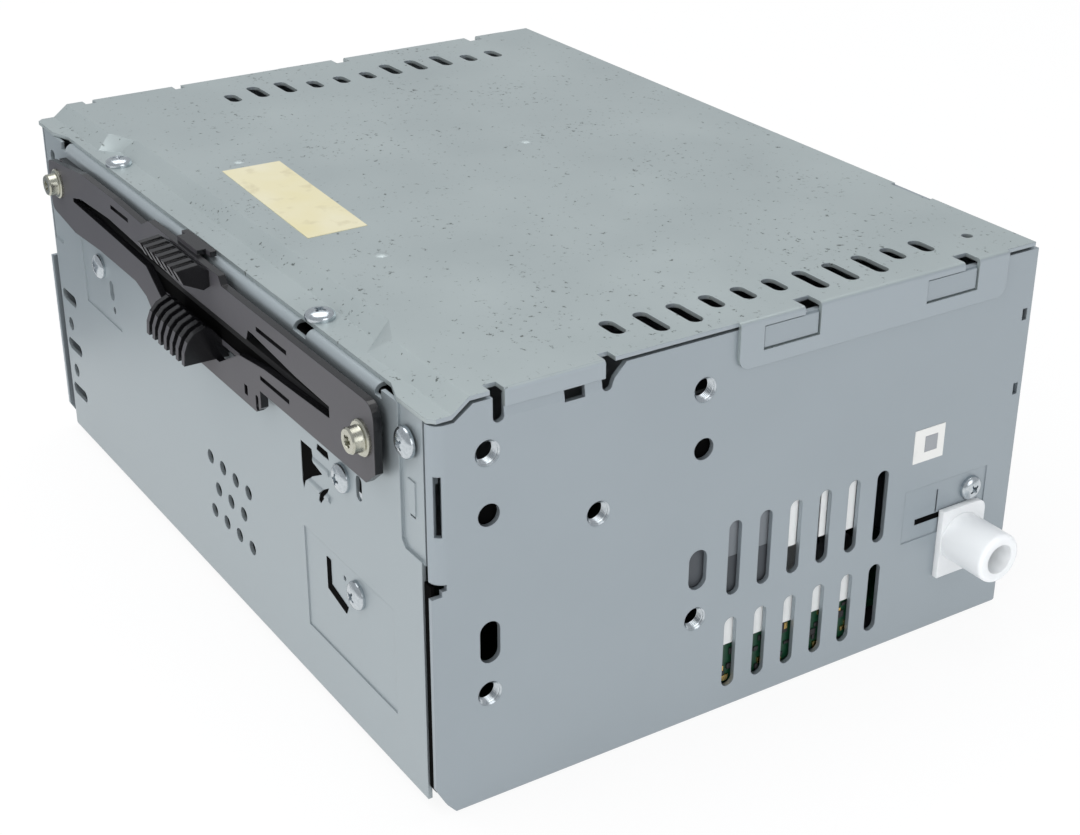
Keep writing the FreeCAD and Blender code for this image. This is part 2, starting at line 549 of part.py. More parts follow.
def disc_guide():
    """Black moulded plate with the disc slot, its flared mouth between two
    ribbed blocks, and a hook over the front plate's bend."""
    outline = [(77.0, 63.0), (77.0, 75.6), (18.2, 75.6), (17.0, 77.2), (-16.5, 77.2),
               (-20.0, 75.4), (-35.8, 75.9), (-54.0, 75.7), (-75.5, 73.0), (-75.5, 61.6),
               (-62.0, 59.9), (-47.0, 60.8), (-27.0, 60.8), (-21.5, 59.4), (-18.0, 56.4),
               (-12.0, 55.0), (30.5, 55.0), (32.6, 56.6), (32.6, 60.1), (73.6, 60.1)]
    outline = rounded_corner(outline, 9, 1.5, 3)
    outline = rounded_corner(outline, 8, 1.5, 3)
    outline = rounded_corner(outline, 1, 3.2)
    plate = prism(outline, GUIDE_FACE, GUIDE_BACK, "y")
    plate = plate.fuse(box(26.0, 32.6, GUIDE_FACE, GUIDE_BACK, 60.0, 61.0))
    # The slot drops into a wide mouth in the middle
    mouth = [(61.0, 66.6), (61.0, 68.8), (48.0, 69.3), (31.0, 70.8), (29.0, 70.8), (28.0, 68.6),
             (0.0, 68.5), (-27.0, 69.9), (-39.5, 70.4), (-56.0, 69.5), (-61.0, 68.3),
             (-61.0, 67.4), (-36.0, 66.9), (-20.0, 66.4), (-8.0, 58.8), (14.5, 58.8),
             (24.0, 64.0), (35.0, 65.4)]
    plate = plate.cut(prism(mouth, GUIDE_FACE - 1, GUIDE_BACK + 1, "y"))
    # Back rails keep the slot's long lips stiff and stand on the front plate
    for z0, z1 in ((72.6, 73.8), (61.4, 62.6)):
        plate = plate.fuse(box(-72, 70, GUIDE_BACK, FRONT, z0, z1))
    # Springy slits beside the slot
    for x0, x1, z in ((32.7, 45.1, 72.5), (33.1, 45.1, 63.0), (-37.6, -27.9, 73.6)):
        plate = plate.cut(box(x0, x1, GUIDE_FACE - 1, GUIDE_FACE + 0.9, z - 0.45, z + 0.45))
    plate = plate.cut(box(25.6, 27.0, GUIDE_FACE - 1, GUIDE_BACK + 1, 56.8, 58.8))
    plate = plate.cut(stadium(31.0, 57.0, 3.2, 1.2, GUIDE_FACE - 1, GUIDE_FACE + 1.2, "y"))
    lower = ribbed_block(LOWER_BLOCK, 1.0)
    shelf = box(BLOCK_X[0], BLOCK_X[1], GUIDE_FACE, GUIDE_BACK, 57.5, 61.0)
    upper = ribbed_block(UPPER_BLOCK, 0.55)
    hook = join([box(-4.0, 5.4, -68.3, -65.2, 77.0, 78.1), box(-6.0, 7.4, -66.5, -65.2, 77.0, 78.1)])
    plate = plate.multiFuse([lower, shelf, upper, hook])
    for x, z in GUIDE_SCREWS:
        plate = plate.cut(disc((x, z), 1.6, GUIDE_FACE - 1, FRONT + 1, "y"))
    return plate.removeSplitter()


def slot_felts():
    """Two felt strips that wipe the disc, behind the slot in the front plate."""
    strips = []
    for z0, z1 in ((DISC_LOW - 1.6, DISC_LOW - 0.3), (DISC_LOW + 1.7, DISC_LOW + 3.2)):
        strips.append(box(-62.0, 62.0, GUIDE_BACK + 0.1, FRONT + 0.6, z0, z1))
    return Part.makeCompound(strips)


# Screws

def pan_screw(head_r, head, shank_r, shank, lobes, flange_r=0.0, flange=0.0):
    """Screw along Z with its seat at 0, head upwards and shank downwards.
    lobes is 4 for a cross recess and 6 for a star recess."""
    shapes = []
    base = 0.0
    if flange:
        shapes.append(Part.makeCylinder(flange_r, flange, V(0, 0, 0)))
        base = flange
    dome = Part.makeSphere(head_r * 1.35, V(0, 0, base + head - head_r * 1.35))
    crown = Part.makeCylinder(head_r, head, V(0, 0, base)).common(dome)
    shapes.append(crown)
    shapes.append(Part.makeCylinder(shank_r, shank + 0.2, V(0, 0, -shank)))
    screw = join(shapes)
    top = base + head
    depth = head * 0.65
    if lobes == 4:
        for angle in (0, 90):
            arm = box(-head_r * 0.52, head_r * 0.52, -0.34, 0.34, top - depth, top + 1)
            arm.rotate(V(0, 0, 0), V(0, 0, 1), angle + 20)
            screw = screw.cut(arm)
    else:
        star = [Part.makeCylinder(head_r * 0.34, depth + 1, V(0, 0, top - depth))]
        for i in range(lobes):
            angle = 2 * math.pi * i / lobes
            spot = V(head_r * 0.36 * math.cos(angle), head_r * 0.36 * math.sin(angle), top - depth)
            star.append(Part.makeCylinder(head_r * 0.15, depth + 1, spot))
        screw = screw.cut(join(star))
    return screw


def aimed(screw, place, way):
    """Copy of a screw with its head facing a direction."""
    copy = screw.copy()
    turn = {
        "up": (V(1, 0, 0), 0), "front": (V(1, 0, 0), 90), "rear": (V(1, 0, 0), -90),
        "right": (V(0, 1, 0), 90), "left": (V(0, 1, 0), -90), "down": (V(1, 0, 0), 180),
    }[way]
    copy.rotate(V(0, 0, 0), turn[0], turn[1])
    copy.translate(V(*place))
    return copy


def screws(kind, places, way):
    return Part.makeCompound([aimed(kind, place, way) for place in places])


def case_screw(shank=5.0):
    return pan_screw(3.0, 1.9, 1.2, shank, 4)


# Rear of the case

def rear_plate():
    """Back wall with side lips, openings for the plug field and fixings."""
    plate = box(-HALF + STEEL + 0.2, HALF - STEEL - 0.2, REAR - 1.0, REAR, STEEL, COVER_UNDER)
    for side in (1, -1):
        lip = box(HALF - STEEL - 1.2, HALF - STEEL - 0.2, REAR - 9.0, REAR - 1.0, 6.0, 60.0)
        if side > 0:
            lip = lip.cut(box(60, 95, REAR - 9.5, REAR, 6.0, 34.0))
        plate = plate.fuse(lip if side > 0 else mirror_x(lip))
    plate = plate.cut(box(CONNECTOR_X[0] - 0.3, CONNECTOR_X[1] + 0.3, REAR - 3, REAR + 1,
                          CONNECTOR_Z[0] - 0.3, CONNECTOR_Z[1] + 0.3))
    for x in (-62, -48):
        for z in (58, 63, 68, 73):
            plate = plate.cut(stadium(x, z, 10, 2.4, REAR - 3, REAR + 1, "y", False))
    plate = plate.cut(disc((SUPPORT_PIN_X, SUPPORT_PIN_Z), 1.9, REAR - 3, REAR + 1, "y"))
    for side in (1, -1):
        corner = prism([(HALF, 0), (HALF, 4.0), (HALF - 4.0, 0)], REAR - 3, REAR + 1, "y")
        plate = plate.cut(corner if side > 0 else mirror_x(corner))
    for x, z in REAR_SCREWS:
        plate = plate.cut(disc((x, z), 1.3, REAR - 3, REAR + 1, "y"))
    for x, z in SINK_SCREWS:
        plate = plate.cut(disc((x, z), 1.3, REAR - 3, REAR + 1, "y"))
    return plate.removeSplitter()


def heat_sink():
    """Ribbed aluminium block outside the back wall, behind the power stage."""
    x0, x1 = SINK_X
    base = box(x0, x1, REAR, REAR + 2.4, 24.0, 70.0)
    fins = [base]
    count = 13
    pitch = (x1 - x0 - 1.2) / (count - 1)
    for i in range(count):
        x = x0 + i * pitch
        fins.append(box(x, x + 1.2, REAR + 2.4, REAR + 7.4, 24.0, 70.0))
    sink = join(fins)
    for x, z in SINK_SCREWS:
        sink = sink.cut(disc((x, z), 1.6, REAR - 1, REAR + 9, "y"))
        sink = sink.cut(disc((x, z), 3.4, REAR + 2.4, REAR + 9, "y"))
    return sink


def support_pin():
    """Threaded stud at the back that a vehicle's support strap takes."""
    pin = join([rod(SUPPORT_PIN_X, REAR - 2.0, SUPPORT_PIN_Z, 4.2, 1.0, "y"),
                rod(SUPPORT_PIN_X, REAR - 1.0, SUPPORT_PIN_Z, 1.8, 2.0, "y"),
                rod(SUPPORT_PIN_X, REAR, SUPPORT_PIN_Z, 3.6, 0.8, "y"),
                rod(SUPPORT_PIN_X, REAR + 0.8, SUPPORT_PIN_Z, 2.5, 7.2, "y")])
    return pin


def main_connector():
    """Moulded vehicle plug field with two rows of blades."""
    x0, x1 = CONNECTOR_X
    z0, z1 = CONNECTOR_Z
    shell = box(x0, x1, REAR - 12.0, REAR + 2.0, z0, z1)
    shell = shell.cut(box(x0 + 1.4, x1 - 1.4, REAR - 9.5, REAR + 3, z0 + 1.4, z1 - 1.4))
    shell = shell.fuse(box(-1.0 + (x0 + x1) / 2, 1.0 + (x0 + x1) / 2, REAR - 10, REAR + 1,
                           z0 + 1.0, z1 - 1.0))
    return shell.removeSplitter()


def connector_pins():
    x0, x1 = CONNECTOR_X
    z0, z1 = CONNECTOR_Z
    blades = []
    for z in (z0 + 4.6, z1 - 4.6):
        for i in range(8):
            x = x0 + 4.2 + i * (x1 - x0 - 8.4) / 7
            blades.append(box(x - 0.5, x + 0.5, REAR - 9.5, REAR - 2.0, z - 0.4, z + 0.4))
    return Part.makeCompound(blades)


# Aerial socket

def aerial_socket():
    """White moulded barrel with a thin flange on the wall."""
    start = HALF - 8.0
    barrel = rod(start, AERIAL_Y, AERIAL_Z, AERIAL_R, AERIAL_END - start, "x")
    barrel = fillet_where(barrel, 0.8, lambda p: near(p.x, AERIAL_END))
    outline = [(47.5, 12.4), (58.9, 12.4), (58.9, 27.4), (47.5, 27.4)]
    outline = rounded_corner(rounded_corner(outline, 2, 2.4), 1, 2.4)
    flange = prism(outline, HALF, HALF + 1.3, "x")
    stop = tube(start, AERIAL_Y, AERIAL_Z, AERIAL_R + 1.6, AERIAL_R - 1, 2.0, "x")
    socket = barrel.fuse(flange).fuse(stop)
    socket = socket.cut(rod(AERIAL_SEAT, AERIAL_Y, AERIAL_Z, AERIAL_BORE_R, 30, "x"))
    socket = socket.cut(rod(HALF - 6.0, AERIAL_Y, AERIAL_Z, 2.3, 10, "x"))
    socket = socket.cut(rod(start - 1, AERIAL_Y, AERIAL_Z, 2.0, 4, "x"))
    return socket.removeSplitter()


def aerial_contact():
    """Spring tube that takes the aerial plug's tip, and its tail to the tuner."""
    x0 = HALF - 16.0
    sleeve = tube(HALF - 6.0, AERIAL_Y, AERIAL_Z, 2.0, 1.3, 6.0, "x")
    plug = rod(HALF - 8.0, AERIAL_Y, AERIAL_Z, 2.0, 2.0, "x")
    tail = rod(x0, AERIAL_Y, AERIAL_Z, 0.7, 8.2, "x")
    return join([sleeve, plug, tail])


def aerial_bracket():
    """Small plate inside the wall that the socket's screw bites into."""
    plate = box(HALF - 2.2, HALF - STEEL, 41.0, 61.0, 26.6, 34.0)
    return plate.cut(disc((55.4, 30.2), 1.2, HALF - 4, HALF + 1, "x"))


# Labels

def top_label():
    corners = [(-28.3, -47.9), (15.4, -49.9), (15.3, -37.2), (-27.9, -35.1)]
    return prism(corners, HEIGHT, HEIGHT + 0.1, "z")


def wall_label():
    return box(HALF, HALF + 0.1, 38.9, 46.6, 39.9, 47.0)


# Disc mechanism

def mech_frame():
    """Folded tray of the mechanism, screwed to the front plate and back wall."""
    front_lip = PLATE_BACK + 0.25
    pan = box(-SIDE_X, SIDE_X, front_lip, 50.0, PAN_Z, PAN_Z + 1)
    pan = pan.cut(box(-66, 66, -30, 34, PAN_Z - 1, PAN_Z + 2))
    pan = pan.fuse(box(-20, 20, -31, 34.5, PAN_Z, PAN_Z + 1))
    shapes = [pan, box(-70, 70, front_lip, front_lip + 1, PAN_Z, 58.0)]
    for side in (1, -1):
        low_side = box(SIDE_X - 1, SIDE_X, -61.0, 50.0, PAN_Z, 62.0)
        tall_side = box(SIDE_X - 1, SIDE_X, -58.0, -22.0, PAN_Z, UPPER_GUIDE_Z + 0.8)
        for shape in (low_side, tall_side):
            shapes.append(shape if side > 0 else mirror_x(shape))
    for x0, x1 in ((-66.0, -40.0), (66.0, SIDE_X)):
        shapes.append(box(x0, x1, 49.0, REAR - 1.0, PAN_Z, PAN_Z + 1))
        shapes.append(box(x0, x1, REAR - 2.0, REAR - 1.0, PAN_Z, PAN_Z + 9))
    frame = join(shapes)
    for x, z in MECH_SCREWS:
        frame = frame.cut(disc((x, z), 1.2, front_lip - 1, front_lip + 2, "y"))
    for x, z in REAR_SCREWS:
        frame = frame.cut(disc((x, z), 1.2, REAR - 3, REAR, "y"))
    for y, z, radius in GEAR_AXLES:
        frame = frame.cut(disc((y, z), radius, SIDE_X - 2, SIDE_X + 1, "x"))
    for x, y in DAMPERS:
        frame = frame.cut(rod(x, y, PAN_Z - 1, 1.2, 3))
    return frame


def deck_plate():
    """Floating plate that carries the motor, pickup rails, rack and arm pivots."""
    shapes = [box(-77.0, 62.0, -48.0, 54.0, DECK_Z, DECK_Z + 1),
              box(61.0, 66.2, -48.0, -35.0, DECK_Z, DECK_Z + 1)]
    for side in (1, -1):
        parts_here = [box(65.2, 66.2, -47.0, -41.0, 54.0, DECK_Z + 1),
                      box(11.0, 16.0, 53.0, 64.6, DECK_Z, DECK_Z + 1),
                      box(14.0, 16.0, 61.0, 64.6, DECK_Z, 76.0)]
        for shape in parts_here:
            shapes.append(shape if side > 0 else mirror_x(shape))
    for y in RAIL_Y:
        shapes.append(box(-77.0, -75.6, y - 3, y + 3, 52.5, DECK_Z + 1))
        shapes.append(box(-13.9, -12.6, y - 1.8,
                          y + 1.8, 52.5, DECK_Z + 1))
    shapes.append(box(-77.0, -75.6, LEAD_Y - 3, LEAD_Y + 3, 50.5, DECK_Z + 1))
    for y in (-30.0, 24.0):
        shapes.append(box(-72.4, -71.0, y, y + 6, DECK_Z, 67.4))
        shapes.append(box(-72.4, -65.8, y, y + 6, 66.4, 67.4))
        shapes.append(box(-67.0, -65.8, y, y + 6, DECK_Z, 61.6))
    deck = join(shapes)
    deck = deck.cut(box(-71.0, -16.0, -11.0, 11.0, DECK_Z - 0.5, DECK_Z + 2))
    deck = deck.cut(rod(0, 0, DECK_Z - 1, 3.4, 3))
    for x in (62.9, -65.1):
        deck = deck.cut(box(x, x + 2.2, -49.0, -39.0, DECK_Z - 0.5, DECK_Z + 2))
    deck = deck.cut(rod(-66.3, BRACKET_PIVOT[0], BRACKET_PIVOT[1], PIVOT_ROD_R, 132.6, "x"))
    deck = deck.cut(rod(-16.5, ARM_PIVOT[0], ARM_PIVOT[1], ARM_PIN_R, 33, "x"))
    for y in RAIL_Y:
        deck = deck.cut(rod(-78, y, RAIL_Z, RAIL_R, 66, "x"))
    deck = deck.cut(rod(-78, LEAD_Y, LEAD_Z, 1.06, 3, "x"))
    for x, y in DAMPERS:
        deck = deck.cut(rod(x, y, DECK_Z - 1, 2.6, 3))
    return deck


def damper_bushes():
    """Soft bushes that the deck floats on."""
    bushes = []
    for x, y in DAMPERS:
        low = Part.makeCone(4.6, 3.4, (DECK_Z - PAN_Z - 1) / 2, V(x, y, PAN_Z + 1))
        high = Part.makeCone(3.4, 4.6, (DECK_Z - PAN_Z - 1) / 2,
                             V(x, y, (DECK_Z + PAN_Z + 1) / 2))
        neck = rod(x, y, DECK_Z, 2.6, 1.0)
        cap = rod(x, y, DECK_Z + 1, 3.8, 1.2)
        bushes.append(join([low, high, neck, cap]).cut(rod(x, y, PAN_Z, 1.2, 20)))
    return Part.makeCompound(bushes)


def damper_pins():
    pins = []
    for x, y in DAMPERS:
        pins.append(join([rod(x, y, PAN_Z - 1.4, 2.6, 1.4), rod(x, y, PAN_Z, 1.2, 15.2)]))
    return Part.makeCompound(pins)


def spindle_motor():
    body = rod(0, 0, 48.5, 12.5, DECK_Z - 48.5)
    body = fillet_where(body, 1.0, lambda p: near(p.z, 48.5))
    return join([body, rod(0, 0, DECK_Z, 3.3, 1.6), rod(0, 0, 50, 1.0, 16.2)])


def turntable():
    """Disc seat with a centring cone, on the spindle motor's shaft."""
    seat = join([rod(0, 0, 61.0, 5.0, 3.0), rod(0, 0, 63.8, 14.0, 2.6)])
    groove = tube(0, 0, 65.9, 12.4, 8.6, 1.0)
    cone = Part.makeCone(7.2, 6.4, 0.6, V(0, 0, 66.4))
    return join([seat.cut(groove), cone]).cut(rod(0, 0, 60, 1.04, 10))


def turntable_pad():
    return tube(0, 0, 65.9, 12.3, 8.7, 0.7)


def clamp_arm():
    """Long lever over the disc, hinged behind it."""
    y0, z0 = ARM_PIVOT
    plate = box(-9.0, 9.0, -12.0, 56.0, 73.0, 74.0)
    plate = plate.fuse(rod(0, 0, 73.0, 12.0, 1.0))
    plate = plate.fuse(box(-13.4, 13.4, 54.0, 60.8, 73.0, 74.0))
    shapes = [plate]
    for side in (1, -1):
        ear = box(12.2, 13.4, 58.0, 64.6, 71.4, 75.6)
        rib = box(8.2, 9.0, -6.0, 56.0, 73.0, 75.2)
        for shape in (ear, rib):
            shapes.append(shape if side > 0 else mirror_x(shape))
    arm = join(shapes)
    arm = arm.cut(rod(0, 0, 70, 3.6, 6)).cut(rod(0, 33, 70, 4.0, 6))
    return arm.cut(rod(-20, y0, z0, ARM_PIN_R + 0.05, 40, "x"))


def arm_pin():
    return rod(-16.6, ARM_PIVOT[0], ARM_PIVOT[1], ARM_PIN_R, 33.2, "x")


def clamp_disc():
    shapes = [rod(0, 0, 71.2, 13.0, 1.4), tube(0, 0, 70.6, 12.6, 8.8, 0.8),
              rod(0, 0, 72.4, 3.0, 2.6), rod(0, 0, 74.8, 5.2, 0.9)]
    return join(shapes)


def roller_bracket():
    """Tilting frame that carries the loading roller."""
    py, pz = BRACKET_PIVOT
    ry, rz = ROLLER_AXIS
    shapes = []
    outline = [(py + 3.2, pz - 2.6), (py + 3.2, pz + 2.0), (ry + 3.0, rz + 2.6),
               (ry - 3.4, rz + 2.4), (-61.0, 60.0), (-61.0, 57.6), (-57.0, 56.6)]
    for x in (-64.6, 63.4):
        shapes.append(prism(outline, x, x + 1.2, "x"))
    shapes.append(box(-64.6, 64.6, -61.0, -57.6, 57.8, 58.8))
    frame = join(shapes)
    frame = frame.cut(rod(-70, py, pz, PIVOT_ROD_R + 0.06, 140, "x"))
    return frame.cut(rod(-70, ry, rz, ROLLER_SHAFT_R + 0.06, 140, "x"))


def pivot_rod():
    return rod(-66.4, BRACKET_PIVOT[0], BRACKET_PIVOT[1], PIVOT_ROD_R, 132.8, "x")


def roller_shaft():
    y, z = ROLLER_AXIS
    return rod(-66.6, y, z, ROLLER_SHAFT_R, GEAR_X + GEAR_WIDTH + 0.6 + 66.6, "x")


def loading_rollers():
    """Rubber rollers, thicker at their outer ends so the disc runs on its rim."""
    y, z = ROLLER_AXIS
    sleeves = []
    for side in (1, -1):
        cone = Part.makeCone(2.5, 3.1, 58.0, V(3.0 * side, y, z), V(side, 0, 0))
        sleeves.append(cone.cut(rod(-70, y, z, ROLLER_SHAFT_R, 140, "x")))
    return Part.makeCompound(sleeves)


def gear_phases():
    """Tooth angles of the roller gear, idler and worm wheel that put them in mesh."""
    ry, rz = ROLLER_AXIS
    iy, iz = IDLER_AXIS
    wy, wz = WHEEL_AXIS
    to_idler = math.atan2(iz - rz, iy - ry)
    roller_phase = to_idler
    idler_phase = to_idler + math.pi + math.pi / IDLER_TEETH
    to_wheel = math.atan2(wz - iz, wy - iy)
    pitch = 2 * math.pi / IDLER_TEETH
    offset = (idler_phase - to_wheel) % pitch
    wheel_phase = to_wheel + math.pi - offset * IDLER_TEETH / WHEEL_TEETH + math.pi / WHEEL_TEETH
    return roller_phase, idler_phase, wheel_phase


def roller_gear():
    y, z = ROLLER_AXIS
    return gear(ROLLER_TEETH, MODULE, GEAR_X, y, z, GEAR_WIDTH, ROLLER_SHAFT_R, gear_phases()[0])


def idler_gear():
    y, z = IDLER_AXIS
    return gear(IDLER_TEETH, MODULE, GEAR_X, y, z, GEAR_WIDTH, 1.26, gear_phases()[1])


def worm_wheel():
    y, z = WHEEL_AXIS
    return gear(WHEEL_TEETH, MODULE, GEAR_X, y, z, GEAR_WIDTH, 1.56, gear_phases()[2])


def gear_axles():
    """Two pins riveted in the tray's side, one for each free gear."""
    pins = []
    for y, z, radius in GEAR_AXLES:
        pin = rod(GEAR_X - 0.8, y, z, radius, SIDE_X - GEAR_X + 0.8, "x")
        head = rod(GEAR_X - 1.6, y, z, radius + 1.0, 0.9, "x")
        shoulder = tube(GEAR_X + GEAR_WIDTH + 0.3, y, z, radius + 1.4, radius * 0.5,
                        SIDE_X - 1 - GEAR_X - GEAR_WIDTH - 0.3, "x")
        pins.append(join([pin, head, shoulder]))
    return Part.makeCompound(pins)


def loading_motor():
    can = rod(WORM_X, -31.0, WORM_Z, 5.2, 19.0, "y")
    nose = rod(WORM_X, -32.2, WORM_Z, 2.0, 1.4, "y")
    shaft = rod(WORM_X, -33.2, WORM_Z, 0.8, 2.0, "y")
    return join([can, nose, shaft])


def motor_worm():
    """Worm on the loading motor's shaft."""
    core = rod(WORM_X, -47.0, WORM_Z, 1.5, 13.6, "y")
    threads = [core]
    for i in range(8):
        threads.append(rod(WORM_X, -46.4 + i * 1.57, WORM_Z, 2.2, 0.7, "y"))
    return join(threads).cut(rod(WORM_X, -33.5, WORM_Z, 0.84, 2, "y"))


def motor_cradle():
    """Clip that holds the loading motor to the tray's side."""
    clip = box(WORM_X - 6.2, SIDE_X - 1, -26.0, -18.0, PAN_Z + 1, WORM_Z + 1.0)
    clip = clip.cut(rod(WORM_X, -32.0, WORM_Z, 5.2, 21.0, "y"))
    return clip.cut(box(WORM_X - 4.8, SIDE_X - 2.4, -27, -17, PAN_Z + 2.2, WORM_Z - 6.4))


def shift_rack():
    """Sliding bar beside the deck that tilts the roller and the clamp arm."""
    bar = box(-70.6, -67.4, -46.0, 38.0, 60.2, 66.0)
    bar = bar.cut(box(-72, -66, -18, 18, 64.2, 67))
    teeth = [bar]
    for i in range(12):
        teeth.append(box(-70.6, -67.4, -16.0 + i * 2.6, -14.8 + i * 2.6, 64.0, 65.0))
    bar = join(teeth)
    slot = prism([(-42.0, 61.8), (-38.0, 61.8), (-34.0, 64.2), (-34.0, 65.0), (-38.5, 63.4),
                  (-42.0, 63.4)], -72, -66, "x")
    return bar.cut(slot)


def guide_rods():
    return Part.makeCompound([rod(-76.6, y, RAIL_Z, RAIL_R, 63.8, "x") for y in RAIL_Y])


def pickup_sled():
    """Die-cast carriage of the optical pickup."""
    body = box(-38.0, -15.2, -18.5, 18.5, 52.0, 57.8)
    body = body.cut(box(-34.0, -19.0, -9.0, 9.0, 51.0, 55.0))
    shapes = [body, box(-31.0, -17.0, -7.0, 7.0, 57.6, 62.4),
              box(-33.0, -25.0, -26.0, -18.0, 51.0, 55.2)]
    sled = join(shapes)
    for y in RAIL_Y:
        sled = sled.cut(rod(-40, y, RAIL_Z, RAIL_R + 0.06, 30, "x"))
    sled = sled.cut(rod(-40, LEAD_Y, LEAD_Z, 1.5, 30, "x"))
    return sled.cut(rod(-24.0, 0, 60.0, 2.6, 4))


def pickup_lens():
    holder = tube(-24.0, 0, 60.0, 2.6, 1.9, 2.8)
    return holder.fuse(Part.makeSphere(2.6, V(-24.0, 0, 61.0)).common(
        rod(-24.0, 0, 60.4, 1.95, 3.6))).removeSplitter()


def lead_screw():
    """Feed screw of the pickup, with its thread shown as a run of ridges."""
    start = -75.4
    end = SLED_MOTOR_X - 0.3
    core = rod(start, LEAD_Y, LEAD_Z, 1.15, end - start, "x")
    ridges = [core, rod(-76.8, LEAD_Y, LEAD_Z, 1.0, 2.0, "x")]
    for i in range(30):
        ridges.append(rod(start + 1.2 + 2.0 * i, LEAD_Y, LEAD_Z, 1.4, 0.9, "x"))
    return join(ridges)


def sled_motor():
    return join([rod(SLED_MOTOR_X, LEAD_Y, LEAD_Z, 5.4, 16.0, "x"),
                 rod(SLED_MOTOR_X + 16.0, LEAD_Y, LEAD_Z, 2.0, 1.4, "x"),
                 box(SLED_MOTOR_X + 2, SLED_MOTOR_X + 14, LEAD_Y - 5.4, LEAD_Y + 5.4,
                     PAN_Z + 1, LEAD_Z - 3)])


def upper_disc_guide():
    """Plate above the disc's way in, which carries the sensing arms."""
    z = UPPER_GUIDE_Z
    plate = box(-SIDE_X + 1, 68.5, -56.0, -22.0, z, z + 0.8)
    plate = plate.fuse(box(60.0, SIDE_X - 1, -30.0, -22.0, z, z + 0.8)).removeSplitter()
    plate = plate.cut(box(-30, 30, -40, -21, z - 1, z + 2))
    for x in (-50, -25, 0, 25, 50):
        plate = plate.fuse(box(x - 6, x + 6, -55, -50, z + 0.8, z + 1.4))
    return plate.removeSplitter()


def sensing_pins():
    """Stepped pivots under the guide plate for the two sensing arms."""
    x, y = SENSE_PIVOT
    pins = []
    for side in (1, -1):
        pins.append(join([rod(side * x, y, 71.9, 1.5, UPPER_GUIDE_Z - 71.9),
                          rod(side * x, y, 71.1, 2.4, 0.9),
                          rod(side * x, y, 73.6, 2.6, UPPER_GUIDE_Z - 73.6)]))
    return Part.makeCompound(pins)


def sensing_arm():
    """Right-hand lever with a finger that the disc's edge pushes outwards."""
    x, y = SENSE_PIVOT
    tip_x, tip_y = SENSE_TIP
    plate = join([rod(x, y, 72.2, 4.0, 1.0), rod(tip_x, tip_y, 72.2, 2.4, 1.0),
                  prism([(x + 3.6, y - 1.6), (x - 3.0, y + 2.4), (tip_x - 2.0, tip_y + 1.2),
                         (tip_x + 2.0, tip_y - 1.2)], 72.2, 73.2, "z")])
    finger = rod(tip_x, tip_y, 67.5, 1.3, 4.9)
    return join([plate, finger]).cut(rod(x, y, 70, 1.56, 5))


# Boards and electrical parts

def main_board():
    board = box(-85.0, 85.0, -60.0, 56.0, BOARD_TOP - BOARD_THICK, BOARD_TOP)
    for x, y in BOARD_POSTS:
        board = board.cut(rod(x, y, 0, 1.6, 12))
    return board


def tuner_can():
    """Tinned screening can over the radio stage, seen through the right slots."""
    can = box(70.5, 84.0, -4.0, 34.0, BOARD_TOP, 21.0)
    can = can.cut(box(71.0, 83.5, -3.5, 33.5, BOARD_TOP - 1, 20.5))
    for i in range(3):
        can = can.cut(rod(77.0, 4 + 11 * i, 19, 2.0, 4))
    return can


def capacitors():
    cans = []
    for x, y, radius, height in CAPS:
        can = rod(x, y, BOARD_TOP, radius, height)
        cans.append(fillet_where(can, 0.5, lambda p: near(p.z, BOARD_TOP + height)))
    return Part.makeCompound(cans)


def board_chips():
    chips = []
    for x, y, wide, deep in CHIPS:
        chips.append(box(x - wide / 2, x + wide / 2, y - deep / 2, y + deep / 2,
                         BOARD_TOP, BOARD_TOP + 2.4))
    return Part.makeCompound(chips)


def power_amp():
    """Audio power stage, clamped against the back wall in front of the fins."""
    inner = REAR - 1.0
    shapes = [box(AMP_X[0], AMP_X[1], inner - 4.6, inner, 11.0, 34.0)]
    count = 12
    for i in range(count):
        x = AMP_X[0] + 2 + i * (AMP_X[1] - AMP_X[0] - 4.6) / (count - 1)
        shapes.append(box(x, x + 0.6, 54.4, inner - 3.0, 11.4, 12.0))
        shapes.append(box(x, x + 0.6, 54.4, 55.0, BOARD_TOP, 12.0))
    chip = join(shapes)
    for x, z in SINK_SCREWS:
        chip = chip.cut(disc((x, z), 1.4, inner - 6, REAR, "y"))
    return chip


def board_bracket():
    """Folded bracket that ties the board to the front plate."""
    front = PLATE_BACK + 0.25
    shape = join([box(52.0, 72.0, front, front + 1.0, BOARD_TOP, 36.0),
                  box(52.0, 72.0, front, -56.0, BOARD_TOP, BOARD_TOP + 1.0)])
    return shape.cut(disc(BRACKET_SCREW, 1.2, front - 1, front + 3, "y"))


def mech_board():
    return box(-18.0, 18.0, -30.0, 30.0, PAN_Z - 1.6, PAN_Z)


def flat_cable():
    """White ribbon from the main board up to the mechanism."""
    return box(69.0, 69.3, 3.0, 33.0, BOARD_TOP, PAN_Z)


def export(name, shape):
    """One file for each sub-part."""
    shape.exportStep("parts/" + name + ".step")
    print(name, "solids", len(shape.Solids), "valid", shape.isValid(),
          "volume", round(shape.Volume, 1))


